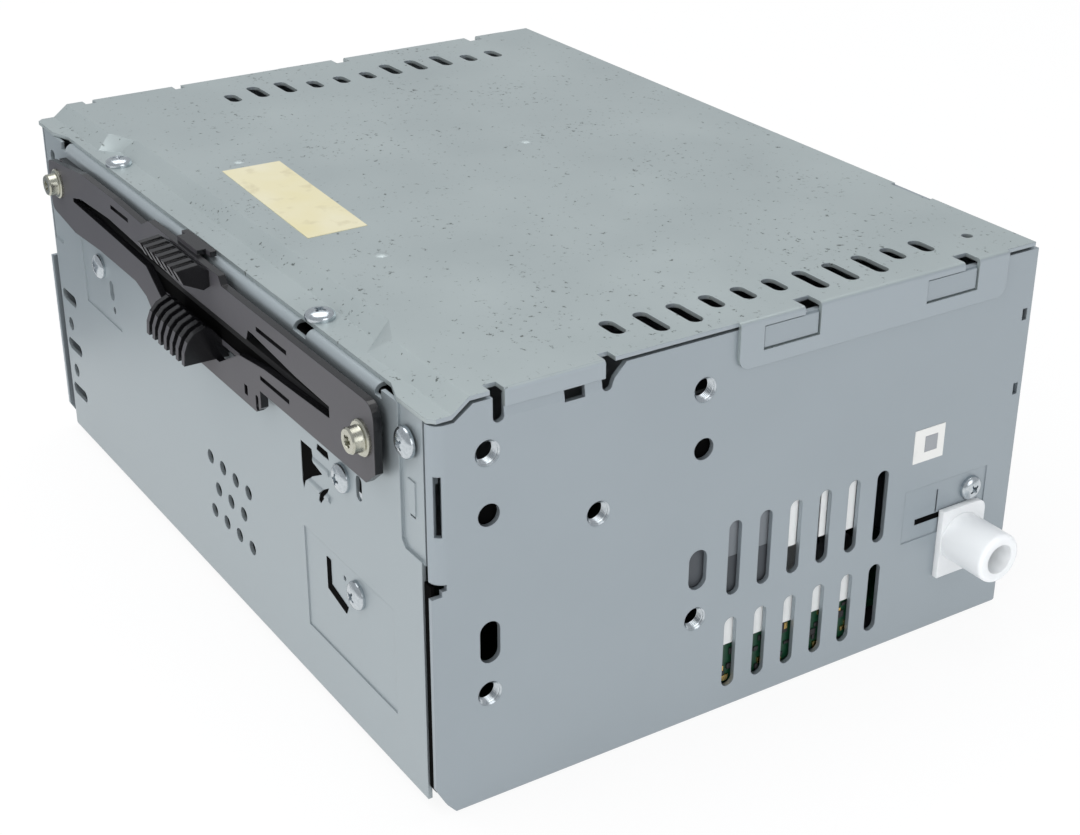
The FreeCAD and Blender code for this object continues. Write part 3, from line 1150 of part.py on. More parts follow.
def main():
    field_y = FRONT + 0.25
    cover_z = STRIP_TOP
    parts["chassis"] = chassis()
    parts["front_plate"] = front_plate()
    parts["top_cover"] = top_cover()
    parts["disc_guide"] = disc_guide()
    parts["slot_felts"] = slot_felts()
    parts["rear_plate"] = rear_plate()
    parts["heat_sink"] = heat_sink()
    parts["support_pin"] = support_pin()
    parts["main_connector"] = main_connector()
    parts["connector_pins"] = connector_pins()
    parts["aerial_socket"] = aerial_socket()
    parts["aerial_contact"] = aerial_contact()
    parts["aerial_bracket"] = aerial_bracket()
    parts["top_label"] = top_label()
    parts["wall_label"] = wall_label()
    star = pan_screw(2.4, 2.2, 1.2, 4.0, 6, 3.3, 0.7)
    guide_spots = [(x, GUIDE_FACE, z) for x, z in GUIDE_SCREWS]
    parts["guide_screws"] = screws(star, guide_spots, "front")
    cover_spots = [(x, y, cover_z) for x, y in COVER_SCREWS]
    parts["cover_screws"] = screws(case_screw(2.6), cover_spots, "up")
    front_spots = [(x, FRONT, z) for x, z in MARGIN_SCREWS]
    front_spots.append((MECH_SCREWS[0][0], FRONT, MECH_SCREWS[0][1]))
    front_spots += [(x, field_y, z) for x, z in (MECH_SCREWS[1], BRACKET_SCREW)]
    parts["front_screws"] = screws(case_screw(3.6), front_spots, "front")
    rear = [aimed(case_screw(3.6), (x, REAR, z), "rear") for x, z in REAR_SCREWS]
    rear += [aimed(case_screw(6.0), (x, REAR + 2.4, z), "rear") for x, z in SINK_SCREWS]
    parts["rear_screws"] = Part.makeCompound(rear)
    small = pan_screw(2.6, 1.7, 1.2, 3.0, 4)
    parts["aerial_screw"] = screws(small, [(HALF, 55.4, 30.2)], "right")
    board_spots = [(x, y, BOARD_TOP) for x, y in BOARD_POSTS]
    parts["board_screws"] = screws(case_screw(4.0), board_spots, "up")
    parts["mech_frame"] = mech_frame()
    parts["deck_plate"] = deck_plate()
    parts["damper_bushes"] = damper_bushes()
    parts["damper_pins"] = damper_pins()
    parts["spindle_motor"] = spindle_motor()
    parts["turntable"] = turntable()
    parts["turntable_pad"] = turntable_pad()
    parts["clamp_arm"] = clamp_arm()
    parts["arm_pin"] = arm_pin()
    parts["clamp_disc"] = clamp_disc()
    parts["roller_bracket"] = roller_bracket()
    parts["pivot_rod"] = pivot_rod()
    parts["roller_shaft"] = roller_shaft()
    parts["loading_rollers"] = loading_rollers()
    parts["roller_gear"] = roller_gear()
    parts["idler_gear"] = idler_gear()
    parts["worm_wheel"] = worm_wheel()
    parts["gear_axles"] = gear_axles()
    parts["loading_motor"] = loading_motor()
    parts["motor_worm"] = motor_worm()
    parts["motor_cradle"] = motor_cradle()
    parts["shift_rack"] = shift_rack()
    parts["guide_rods"] = guide_rods()
    parts["pickup_sled"] = pickup_sled()
    parts["pickup_lens"] = pickup_lens()
    parts["lead_screw"] = lead_screw()
    parts["sled_motor"] = sled_motor()
    parts["upper_disc_guide"] = upper_disc_guide()
    parts["sensing_pins"] = sensing_pins()
    parts["sensing_arm_right"] = sensing_arm()
    parts["sensing_arm_left"] = mirror_x(sensing_arm())
    parts["main_board"] = main_board()
    parts["tuner_can"] = tuner_can()
    parts["capacitors"] = capacitors()
    parts["board_chips"] = board_chips()
    parts["power_amp"] = power_amp()
    parts["board_bracket"] = board_bracket()
    parts["mech_board"] = mech_board()
    parts["flat_cable"] = flat_cable()
    for name, shape in parts.items():
        export(name, shape)


main()
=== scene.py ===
# %% [markdown]
# # A car disc player on a white table
# The player is a folded steel case with a black moulded disc guide on its front and a white aerial
# socket on its right side. The construction comes from the imported frame, piece by piece, so this
# lesson is about finishes, small turned parts and light. The first cell loads the frame.

# %% Load the frame
import math

import bmesh
import bpy
from mathutils import Matrix, Vector


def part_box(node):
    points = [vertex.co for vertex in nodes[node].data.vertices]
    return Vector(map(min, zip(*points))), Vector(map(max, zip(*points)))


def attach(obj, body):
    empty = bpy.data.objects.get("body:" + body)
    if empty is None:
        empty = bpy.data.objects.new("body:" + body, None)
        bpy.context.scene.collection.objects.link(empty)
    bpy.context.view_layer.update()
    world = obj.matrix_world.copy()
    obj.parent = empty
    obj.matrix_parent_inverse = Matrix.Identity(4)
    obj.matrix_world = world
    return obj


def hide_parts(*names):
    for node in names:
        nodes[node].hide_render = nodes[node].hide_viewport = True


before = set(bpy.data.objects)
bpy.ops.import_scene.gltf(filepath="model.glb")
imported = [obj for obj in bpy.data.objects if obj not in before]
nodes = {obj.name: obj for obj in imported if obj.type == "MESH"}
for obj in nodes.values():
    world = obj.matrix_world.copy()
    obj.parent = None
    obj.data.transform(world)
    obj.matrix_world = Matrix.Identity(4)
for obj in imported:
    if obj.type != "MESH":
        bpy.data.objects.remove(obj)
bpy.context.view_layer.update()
MM = 0.001
print("nodes in the frame:", len(nodes))

# %% [markdown]
# Three helpers are used all the way through. Colours are written as the hex values that a paint chart
# gives, and one function turns them to the linear numbers that the shader mixes. Another adds a node
# together with its settings and its links, so that a finish reads as a list of what it is made of.

# %% Colour and node helpers
def colour(hex_value):
    """Linear colour with alpha from an sRGB hex value."""
    parts = [int(hex_value[i:i + 2], 16) / 255 for i in (1, 3, 5)]
    linear = [p / 12.92 if p <= 0.04045 else ((p + 0.055) / 1.055) ** 2.4 for p in parts]
    return (*linear, 1.0)


def add(tree, kind, inputs=None, **settings):
    """A node with its settings; an input takes a value or another node's output."""
    node = tree.nodes.new(kind)
    for name, value in settings.items():
        setattr(node, name, value)
    for key, value in (inputs or {}).items():
        if isinstance(value, bpy.types.NodeSocket):
            tree.links.new(value, node.inputs[key])
        else:
            node.inputs[key].default_value = value
    return node


def per_metre(size_mm):
    """Texture scale that gives features of about this size."""
    return 1.0 / (size_mm * MM)


print("mid grey is", round(colour("#808080")[0], 3), "in linear light")

# %% [markdown]
# The photograph was taken from the front right corner, a little above the case, with a moderately
# long lens. The camera stands at a measured place and is aimed by an azimuth, an elevation and a
# slight roll. Building the three axes by hand keeps the roll exact.

# %% Camera at the photograph's view
CAMERA_AT = Vector((318.6, -192.6, 209.2)) * MM
CAMERA_AZIMUTH = math.radians(57.275)
CAMERA_ELEVATION = math.radians(26.662)
CAMERA_ROLL = math.radians(0.183)
CAMERA_LENS = 62.727

forward = Vector((-math.sin(CAMERA_AZIMUTH) * math.cos(CAMERA_ELEVATION),
                  math.cos(CAMERA_AZIMUTH) * math.cos(CAMERA_ELEVATION),
                  -math.sin(CAMERA_ELEVATION)))
level_right = forward.cross(Vector((0, 0, 1))).normalized()
level_up = level_right.cross(forward)
right = math.cos(CAMERA_ROLL) * level_right + math.sin(CAMERA_ROLL) * level_up
up = -math.sin(CAMERA_ROLL) * level_right + math.cos(CAMERA_ROLL) * level_up
camera_data = bpy.data.cameras.new("camera")
camera_data.lens = CAMERA_LENS
camera_data.sensor_width = 36.0
camera_data.clip_start = 0.01
camera = bpy.data.objects.new("camera", camera_data)
camera.matrix_world = Matrix.Translation(CAMERA_AT) @ Matrix((right, up, -forward)).transposed().to_4x4()
bpy.context.collection.objects.link(camera)
bpy.context.scene.camera = camera
bpy.context.scene.view_settings.view_transform = "Standard"
print("camera looks along", [round(v, 3) for v in forward])

# %% [markdown]
# The table is a large plain sheet. The camera, and mirror-like reflections, see it as plain white
# paper, while its shadow is kept by mixing a little of the lit surface back in. Four soft panels and
# an even sky light the metal, so each sheet reflects something pale and broad, as in a light tent.

# %% Table, sky and soft panels
def white_where_seen(tree, lit, strength):
    """White for camera, glossy and transmitted rays, the lit surface for the rest."""
    path = add(tree, "ShaderNodeLightPath")
    either = add(tree, "ShaderNodeMath", {0: path.outputs["Is Camera Ray"],
                                          1: path.outputs["Is Glossy Ray"]}, operation="MAXIMUM")
    seen = add(tree, "ShaderNodeMath", {0: either.outputs[0],
                                        1: path.outputs["Is Transmission Ray"]}, operation="MAXIMUM")
    glow = add(tree, "ShaderNodeEmission", {"Color": (1, 1, 1, 1), "Strength": 1.0})
    share = add(tree, "ShaderNodeMath", {0: seen.outputs[0], 1: strength}, operation="MULTIPLY")
    return add(tree, "ShaderNodeMixShader", {0: share.outputs[0], 1: lit, 2: glow.outputs[0]})


table = bpy.data.materials.new("white_table")
table.use_nodes = True
tree = table.node_tree
lit_white = tree.nodes["Principled BSDF"]
lit_white.inputs["Base Color"].default_value = colour("#f2f2f2")
lit_white.inputs["Roughness"].default_value = 0.8
mixed = white_where_seen(tree, lit_white.outputs[0], 0.9)
tree.links.new(mixed.outputs[0], tree.nodes["Material Output"].inputs[0])
FLOOR_HALF = 3.0
floor_mesh = bpy.data.meshes.new("table_top")
floor_mesh.from_pydata([(-FLOOR_HALF, -FLOOR_HALF, 0), (FLOOR_HALF, -FLOOR_HALF, 0),
                        (FLOOR_HALF, FLOOR_HALF, 0), (-FLOOR_HALF, FLOOR_HALF, 0)], [], [(0, 1, 2, 3)])
floor_mesh.materials.append(table)
floor = bpy.data.objects.new("table_top", floor_mesh)
bpy.context.collection.objects.link(floor)

# Only reflections see this grey card, so the front fades towards its left end as it does in a studio.
card_mesh = bpy.data.meshes.new("grey_card")
card_mesh.from_pydata([(-0.55, -0.5, 0.004), (-0.125, -0.5, 0.004), (-0.125, -0.08, 0.004),
                       (-0.55, -0.08, 0.004)], [], [(0, 1, 2, 3)])
grey = bpy.data.materials.new("grey_card")
grey.use_nodes = True
grey.node_tree.nodes["Principled BSDF"].inputs["Base Color"].default_value = colour("#7c8288")
card_mesh.materials.append(grey)
grey_card = bpy.data.objects.new("grey_card", card_mesh)
bpy.context.collection.objects.link(grey_card)
grey_card.visible_camera = False
grey_card.visible_diffuse = False
grey_card.visible_shadow = False

SKY_STRENGTH = 0.55
world = bpy.data.worlds.new("sky")
world.use_nodes = True
bpy.context.scene.world = world
sky = world.node_tree
soft = add(sky, "ShaderNodeBackground", {"Color": colour("#f4f7fb"), "Strength": SKY_STRENGTH})
white = add(sky, "ShaderNodeBackground", {"Color": (1, 1, 1, 1), "Strength": 1.0})
rays = add(sky, "ShaderNodeLightPath")
through = add(sky, "ShaderNodeMath", {0: rays.outputs["Is Camera Ray"],
                                      1: rays.outputs["Is Transmission Ray"]}, operation="MAXIMUM")
pick = add(sky, "ShaderNodeMixShader", {0: through.outputs[0], 1: soft.outputs[0], 2: white.outputs[0]})
sky.links.new(pick.outputs[0], sky.nodes["World Output"].inputs[0])


def panel(name, place, target, size, watts, mirrored=True):
    """Soft rectangular light aimed at a point. Where it isn't mirrored, sheets show no glare from it."""
    data = bpy.data.lights.new(name, "AREA")
    data.shape = "RECTANGLE"
    data.size, data.size_y = size
    data.energy = watts
    lamp = bpy.data.objects.new(name, data)
    lamp.location = place
    lamp.rotation_euler = (Vector(target) - Vector(place)).to_track_quat("-Z", "Y").to_euler()
    lamp.visible_glossy = mirrored
    bpy.context.collection.objects.link(lamp)


panel("overhead_panel", (-0.3, 0.1, 1.3), (0, 0, 0.05), (1.2, 1.0), 8)
panel("right_panel", (1.3, 0.2, 0.6), (0, 0, 0.04), (0.8, 0.8), 3.6)
panel("front_panel", (0.7, -1.05, 0.5), (0, 0, 0.04), (0.8, 0.7), 7, mirrored=False)
panel("high_front_panel", (-0.2, -0.8, 1.1), (0, 0, 0.04), (1.2, 0.7), 7, mirrored=False)

# %% [markdown]
# Sheet steel with a zinc coat is the main finish. Zinc gives a cool, slightly blue grey with a broad
# soft shine, faint cloudy patches where the coat is thicker, and a very fine grain from the rollers.
# The lid also has many tiny dark specks of handling dirt. A bevel node rounds the light on the cut
# edges, because real sheared edges are never quite sharp.

# %% Galvanised sheet steel
def base(name):
    """New material, its tree and its surface shader."""
    material = bpy.data.materials.new(name)
    material.use_nodes = True
    return material, material.node_tree, material.node_tree.nodes["Principled BSDF"]


def rough_between(tree, factor, low, high):
    return add(tree, "ShaderNodeMapRange", {"Value": factor, "To Min": low, "To Max": high}).outputs[0]


def zinc_sheet(name, light, dark, specks=0.0, grain=(1.0, 1.0, 1.0), edge_mm=0.22, flank=None):
    """Galvanised steel: metallic, satin, cloudy, finely grained. A flank tone, darker than the top, is
    painted shade on the faces that turn sideways, the bent-down sides, which also carry no specks."""
    material, tree, shader = base(name)
    place = add(tree, "ShaderNodeTexCoord").outputs["Object"]
    clouds = add(tree, "ShaderNodeTexNoise", {"Vector": place, "Scale": per_metre(28), "Detail": 3.0,
                                              "Roughness": 0.55})
    stretched = add(tree, "ShaderNodeMapping", {"Vector": place, "Scale": grain})
    fine = add(tree, "ShaderNodeTexNoise", {"Vector": stretched.outputs[0], "Scale": per_metre(0.7),
                                            "Detail": 2.0})
    tone = add(tree, "ShaderNodeMix", {0: clouds.outputs[0]}, data_type="RGBA")
    tone.inputs[6].default_value = colour(dark)
    tone.inputs[7].default_value = colour(light)
    shade = tone.outputs[2]
    if specks:
        dirt = add(tree, "ShaderNodeTexNoise", {"Vector": place, "Scale": per_metre(1.2), "Detail": 4.0,
                                                "Roughness": 0.65})
        patch = add(tree, "ShaderNodeTexNoise", {"Vector": place, "Scale": per_metre(20)})
        lift = add(tree, "ShaderNodeMath", {0: patch.outputs[0], 1: 0.16, 2: dirt.outputs[0]},
                   operation="MULTIPLY_ADD")
        dots = add(tree, "ShaderNodeMapRange", {"Value": lift.outputs[0], "From Min": 0.71,
                                                "From Max": 0.78, "To Max": specks})
        marked = add(tree, "ShaderNodeMix", {0: dots.outputs[0]}, data_type="RGBA")
        tree.links.new(shade, marked.inputs[6])
        marked.inputs[7].default_value = colour("#4d5350")
        shade = marked.outputs[2]
    # Sideways faces get the flank tone: painted shade, without specks.
    if flank:
        faced = add(tree, "ShaderNodeTexCoord").outputs["Normal"]
        normal = add(tree, "ShaderNodeSeparateXYZ", {0: faced})
        sideways = add(tree, "ShaderNodeMath", {0: normal.outputs[0]}, operation="ABSOLUTE")
        side_shade_mask = add(tree, "ShaderNodeMapRange", {"Value": sideways.outputs[0], "From Min": 0.6,
                                                  "From Max": 0.9})
        side_shaded_tone = add(tree, "ShaderNodeMix", {0: side_shade_mask.outputs[0]}, data_type="RGBA")
        tree.links.new(shade, side_shaded_tone.inputs[6])
        side_shaded_tone.inputs[7].default_value = colour(flank)
        shade = side_shaded_tone.outputs[2]
    tree.links.new(shade, shader.inputs["Base Color"])
    shader.inputs["Metallic"].default_value = 0.65
    tree.links.new(rough_between(tree, clouds.outputs[0], 0.36, 0.5), shader.inputs["Roughness"])
    rounded = add(tree, "ShaderNodeBevel", {"Radius": edge_mm * MM}, samples=4)
    bump = add(tree, "ShaderNodeBump", {"Height": fine.outputs[0], "Strength": 0.12,
                                        "Distance": 0.02 * MM, "Normal": rounded.outputs[0]})
    tree.links.new(bump.outputs[0], shader.inputs["Normal"])
    return material


# The lid's flank tone is painted shade on its bent-down sides.
lid_steel = zinc_sheet("galvanised_lid", "#b4bdbd", "#a5afb0", specks=0.85, flank="#a2abb1")
wall_steel = zinc_sheet("galvanised_wall", "#a2abb1", "#98a1a7", grain=(1, 0.08, 1))
front_steel = zinc_sheet("galvanised_front", "#a8b1b5", "#9da6aa", grain=(0.08, 1, 1))
deck_steel = zinc_sheet("stamped_deck_steel", "#b0b4b6", "#9a9fa2")
print("sheet finishes:", lid_steel.name, wall_steel.name, front_steel.name, deck_steel.name)

# %% [markdown]
# The remaining finishes are moulded plastics, rubber, plated and turned metal, paper and circuit
# board. Each starts from the real material's gloss. The guide's plastic is a glass-filled moulding:
# nearly black, with a satin grain on its faces that turns glossy at its edges, where a darker colour
# is painted shade.

# %% Moulded, plated and printed finishes
def moulding(name, light, dark, roughness, grain_mm=0.35, bump=0.25, edge_mm=0.25, **extra):
    """Moulded plastic, rubber or paper: a tone with slight variation and a surface grain."""
    material, tree, shader = base(name)
    place = add(tree, "ShaderNodeTexCoord").outputs["Object"]
    drift = add(tree, "ShaderNodeTexNoise", {"Vector": place, "Scale": per_metre(14), "Detail": 2.0})
    tone = add(tree, "ShaderNodeMix", {0: drift.outputs[0]}, data_type="RGBA")
    tone.inputs[6].default_value = colour(dark)
    tone.inputs[7].default_value = colour(light)
    tree.links.new(tone.outputs[2], shader.inputs["Base Color"])
    tree.links.new(rough_between(tree, drift.outputs[0], roughness - 0.05, roughness + 0.05),
                   shader.inputs["Roughness"])
    grain = add(tree, "ShaderNodeTexNoise", {"Vector": place, "Scale": per_metre(grain_mm),
                                             "Detail": 2.0})
    rounded = add(tree, "ShaderNodeBevel", {"Radius": edge_mm * MM}, samples=4)
    relief = add(tree, "ShaderNodeBump", {"Height": grain.outputs[0], "Strength": bump,
                                          "Distance": 0.03 * MM, "Normal": rounded.outputs[0]})
    tree.links.new(relief.outputs[0], shader.inputs["Normal"])
    for socket, value in extra.items():
        shader.inputs[socket.replace("_", " ")].default_value = value
    return material


def plated(name, light, dark, roughness, scratch_mm=0.5):
    """Turned and plated metal, with faint tooling marks."""
    material, tree, shader = base(name)
    place = add(tree, "ShaderNodeTexCoord").outputs["Object"]
    marks = add(tree, "ShaderNodeTexNoise", {"Vector": place, "Scale": per_metre(scratch_mm),
                                             "Detail": 3.0})
    tone = add(tree, "ShaderNodeMix", {0: marks.outputs[0]}, data_type="RGBA")
    tone.inputs[6].default_value = colour(dark)
    tone.inputs[7].default_value = colour(light)
    tree.links.new(tone.outputs[2], shader.inputs["Base Color"])
    tree.links.new(rough_between(tree, marks.outputs[0], roughness * 0.8, roughness * 1.3),
                   shader.inputs["Roughness"])
    shader.inputs["Metallic"].default_value = 1.0
    return material


black_plastic = moulding("glass_filled_black_moulding", "#3a3a3e", "#2f2f33", 0.38, bump=0.35)
# The disc guide is textured on its broad face and glossy round its edges; the much darker colour there
# is painted shade on the faces that turn away from the front
guide_plastic = moulding("textured_black_moulding", "#47464a", "#3f3e42", 0.5, bump=0.45)
tree = guide_plastic.node_tree
shader = tree.nodes["Principled BSDF"]
facing = add(tree, "ShaderNodeSeparateXYZ", {0: add(tree, "ShaderNodeTexCoord").outputs["Normal"]})
towards = add(tree, "ShaderNodeMath", {0: facing.outputs[1]}, operation="ABSOLUTE")
flank = add(tree, "ShaderNodeMapRange", {"Value": towards.outputs[0], "From Min": 0.75,
                                         "From Max": 0.9, "To Min": 1.0, "To Max": 0.0})
# Faces that turn away from the front get a near-black colour as painted shade and a lower roughness for
# their gloss.
for socket, shade_and_gloss in (("Base Color", colour("#131315")), ("Roughness", 0.22)):
    textured = shader.inputs[socket].links[0].from_socket
    kind = "RGBA" if socket == "Base Color" else "FLOAT"
    mixed = add(tree, "ShaderNodeMix", {0: flank.outputs[0]}, data_type=kind)
    first, second, result = (6, 7, 2) if kind == "RGBA" else (2, 3, 0)
    tree.links.new(textured, mixed.inputs[first])
    mixed.inputs[second].default_value = shade_and_gloss
    tree.links.new(mixed.outputs[result], shader.inputs[socket])
white_plastic = moulding("natural_white_moulding", "#f1f3f4", "#e6e9eb", 0.32, bump=0.1,
                         Subsurface_Weight=0.4, Subsurface_Scale=0.004,
                         Subsurface_Radius=(1.0, 1.0, 1.0))
zinc_plate = plated("bright_zinc_plate", "#d4dade", "#aeb6bb", 0.22)
gold_plate = plated("yellow_passivated_zinc", "#cfcfc4", "#a5a494", 0.26)
ground_steel = plated("ground_steel", "#c9cdd0", "#b3b8bb", 0.18)
brass = plated("plated_brass", "#d8bd7a", "#b8975a", 0.25)
tin = plated("tinned_sheet", "#dfe3e5", "#bfc4c7", 0.3, scratch_mm=3.0)
cast_alloy = plated("extruded_aluminium", "#bcc0c4", "#9da1a6", 0.38, scratch_mm=1.2)
rubber = moulding("black_rubber", "#262626", "#1b1b1b", 0.75)
felt = moulding("black_felt", "#1d1d1e", "#121213", 0.95, grain_mm=0.15, bump=0.9)
epoxy = moulding("epoxy_package", "#2b2b2c", "#212122", 0.55)
solder_mask = moulding("green_solder_mask", "#1d4a33", "#143a27", 0.3, grain_mm=1.2, bump=0.2)
sleeve = moulding("capacitor_sleeve", "#23305a", "#1b2547", 0.28)
ribbon = moulding("white_ribbon", "#f4f4f0", "#e6e6e0", 0.4, grain_mm=1.0)
glass = moulding("coated_lens", "#6f86b8", "#4a5f94", 0.08, bump=0.0)
print("finishes made:", len(bpy.data.materials))

# %% [markdown]
# Every node of the construction now gets its finish. A dictionary from finish to node names keeps
# the list short and lets the cell check that nothing was forgotten.

# %% Dress the construction
FINISH = {
    lid_steel: ["top_cover"],
    wall_steel: ["chassis", "rear_plate", "aerial_bracket", "board_bracket"],
    front_steel: ["front_plate"],
    deck_steel: ["deck_plate", "roller_bracket", "clamp_arm", "motor_cradle", "mech_frame",
                 "upper_disc_guide"],
    zinc_plate: ["cover_screws", "front_screws", "rear_screws", "aerial_screw", "board_screws",
                 "damper_pins", "support_pin"],
    gold_plate: ["guide_screws"],
    guide_plastic: ["disc_guide"],
    black_plastic: ["main_connector", "shift_rack", "clamp_disc", "turntable"],
    felt: ["slot_felts"],
    cast_alloy: ["heat_sink", "pickup_sled"],
    ground_steel: ["roller_shaft", "pivot_rod", "arm_pin", "guide_rods", "lead_screw", "gear_axles",
                   "sensing_pins"],
    white_plastic: ["aerial_socket", "roller_gear", "idler_gear", "worm_wheel", "sensing_arm_left",
                    "sensing_arm_right"],
    brass: ["aerial_contact", "connector_pins", "motor_worm"],
    rubber: ["damper_bushes", "loading_rollers", "turntable_pad"],
    tin: ["tuner_can", "spindle_motor", "loading_motor", "sled_motor"],
    glass: ["pickup_lens"],
    solder_mask: ["main_board", "mech_board"],
    sleeve: ["capacitors"],
    epoxy: ["board_chips", "power_amp"],
    ribbon: ["flat_cable", "top_label", "wall_label"],
}
dressed = 0
for finish, names in FINISH.items():
    for name in names:
        mesh = nodes[name].data
        mesh.materials.clear()
        mesh.materials.append(finish)
        dressed += 1
print("dressed", dressed, "of", len(nodes), "nodes; left over:",
      sorted(set(nodes) - {n for names in FINISH.values() for n in names}))

# %% [markdown]
# Screws repeat all over the case, so they are made once as a small profile and stood at their places
# by Geometry Nodes. A point cloud carries each place and turn. The head is a domed pan with a cross
# or star recess cut by a slim tool, and the tree ends with the points made real and the finish set.

# %% Screw heads with recesses
def turned(profile, name, segments=40):
    """Body of revolution about Z from (radius, height) points in millimetres."""
    mesh = bpy.data.meshes.new(name)
    shape = bmesh.new()
    points = [shape.verts.new((r * MM, 0, z * MM)) for r, z in profile]
    edges = [shape.edges.new(pair) for pair in zip(points, points[1:])]
    bmesh.ops.spin(shape, geom=points + edges, cent=(0, 0, 0), axis=(0, 0, 1),
                   angle=2 * math.pi, steps=segments, use_duplicate=False)
    bmesh.ops.remove_doubles(shape, verts=shape.verts, dist=1e-7)
    bmesh.ops.recalc_face_normals(shape, faces=shape.faces)
    shape.to_mesh(mesh)
    shape.free()
    return bpy.data.objects.new(name, mesh)


def cut(target, tool):
    """Take one mesh out of another and keep the plain result."""
    for item in (target, tool):
        if item.name not in bpy.context.collection.objects:
            bpy.context.collection.objects.link(item)
    step = target.modifiers.new("recess", "BOOLEAN")
    step.operation = "DIFFERENCE"
    step.object = tool
    bpy.context.view_layer.update()
    result = bpy.data.meshes.new_from_object(target.evaluated_get(bpy.context.evaluated_depsgraph_get()))
    target.modifiers.remove(step)
    target.data = result
    bpy.data.objects.remove(tool)
    return target


def block_tool(size, turns, low, name="tool"):
    """Crossing slim wedges that narrow downwards, in millimetres."""
    mesh = bpy.data.meshes.new(name)
    shape = bmesh.new()
    length, width, high = size
    for turn in turns:
        made = bmesh.ops.create_cube(shape, size=1.0)["verts"]
        for vert in made:
            x, y, z = vert.co
            taper = 0.45 if z < 0 else 1.0
            vert.co = Vector((x * length * taper, y * width * taper, low + (z + 0.5) * high)) * MM
        spun = Matrix.Rotation(math.radians(turn), 3, "Z")
        bmesh.ops.rotate(shape, verts=made, cent=(0, 0, 0), matrix=spun)
    shape.to_mesh(mesh)
    shape.free()
    return bpy.data.objects.new(name, mesh)


def dome(radius, height, rim):
    """Rounded pan-head outline with a short straight rim."""
    steps = 8
    arc = [(radius * math.cos(t * math.pi / 2 / steps),
            rim + (height - rim) * math.sin(t * math.pi / 2 / steps)) for t in range(steps)]
    return [(0.0, 0.0), (radius, 0.0), *arc, (0.0, height)]


def cross_head(name, radius, height):
    """Pan head with a cross recess."""
    head = turned(dome(radius, height, 0.45), name)
    for turn in (22, 112):
        cut(head, block_tool((radius * 1.15, radius * 0.24, height), (turn,), height * 0.42))
    cut(head, block_tool((radius * 0.5, radius * 0.5, height), (22,), height * 0.42))
    return head


def star_head(name):
    """Tall flanged head with a six-pointed recess."""
    outline = [(0, 0), (3.25, 0), (3.25, 0.45), (3.0, 0.7), (2.45, 0.75), (2.35, 1.0), (2.35, 2.45),
               (2.1, 2.8), (0, 2.9)]
    head = turned(outline, name)
    for turn in (10, 70, 130):
        cut(head, block_tool((3.4, 1.1, 3.0), (turn,), 1.6))
    return head


def place_copies(name, part, spots, finish, body):
    """Stand copies of a part on points by Geometry Nodes and return one plain mesh.
    A spot is a place in millimetres, the direction that the part's Z faces, and a spin."""
    cloud = bpy.data.meshes.new(name + "_points")
    cloud.from_pydata([tuple(v * MM for v in place) for place, _, _ in spots], [], [])
    turn = cloud.attributes.new("turn", "FLOAT_VECTOR", "POINT")
    for i, (_, way, spin) in enumerate(spots):
        spun = Matrix.Rotation(math.radians(spin), 3, "Z").to_quaternion()
        facing = Vector(way).to_track_quat("Z", "Y") @ spun
        turn.data[i].vector = facing.to_euler()
    group = bpy.data.node_groups.new(name + "_tree", "GeometryNodeTree")
    group.interface.new_socket("Geometry", in_out="INPUT", socket_type="NodeSocketGeometry")
    source = group.interface.new_socket("Part", in_out="INPUT", socket_type="NodeSocketObject")
    group.interface.new_socket("Geometry", in_out="OUTPUT", socket_type="NodeSocketGeometry")
    start = add(group, "NodeGroupInput")
    info = add(group, "GeometryNodeObjectInfo", {"Object": start.outputs["Part"]})
    euler = add(group, "GeometryNodeInputNamedAttribute", {"Name": "turn"}, data_type="FLOAT_VECTOR")
    copies = add(group, "GeometryNodeInstanceOnPoints",
                 {"Points": start.outputs["Geometry"], "Instance": info.outputs["Geometry"],
                  "Rotation": euler.outputs[0]})
    real = add(group, "GeometryNodeRealizeInstances", {"Geometry": copies.outputs[0]})
    painted = add(group, "GeometryNodeSetMaterial", {"Geometry": real.outputs[0], "Material": finish})
    add(group, "NodeGroupOutput", {"Geometry": painted.outputs[0]})
    holder = bpy.data.objects.new(name, cloud)
    bpy.context.collection.objects.link(holder)
    if part.name not in bpy.context.collection.objects:
        bpy.context.collection.objects.link(part)
    step = holder.modifiers.new("copies", "NODES")
    step.node_group = group
    step[source.identifier] = part
    bpy.context.view_layer.update()
    mesh = bpy.data.meshes.new_from_object(holder.evaluated_get(bpy.context.evaluated_depsgraph_get()))
    bpy.data.objects.remove(holder)
    mesh.materials.clear()
    mesh.materials.append(finish)
    made = bpy.data.objects.new(name, mesh)
    bpy.context.collection.objects.link(made)
    mesh.shade_smooth()
    mesh.set_sharp_from_angle(angle=math.radians(35))
    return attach(made, body)


STEEL_HEAD = cross_head("pan_head", 2.8, 1.7)
SMALL_HEAD = cross_head("small_pan_head", 2.55, 1.6)
STAR_HEAD = star_head("flanged_star_head")
print("recessed heads:", len(STEEL_HEAD.data.polygons), len(STAR_HEAD.data.polygons), "faces")

# %% [markdown]
# Each group of screws stands for the plain screws of the construction, at the same seats. The spin
# differs from screw to screw, as it does when they are driven home by hand.

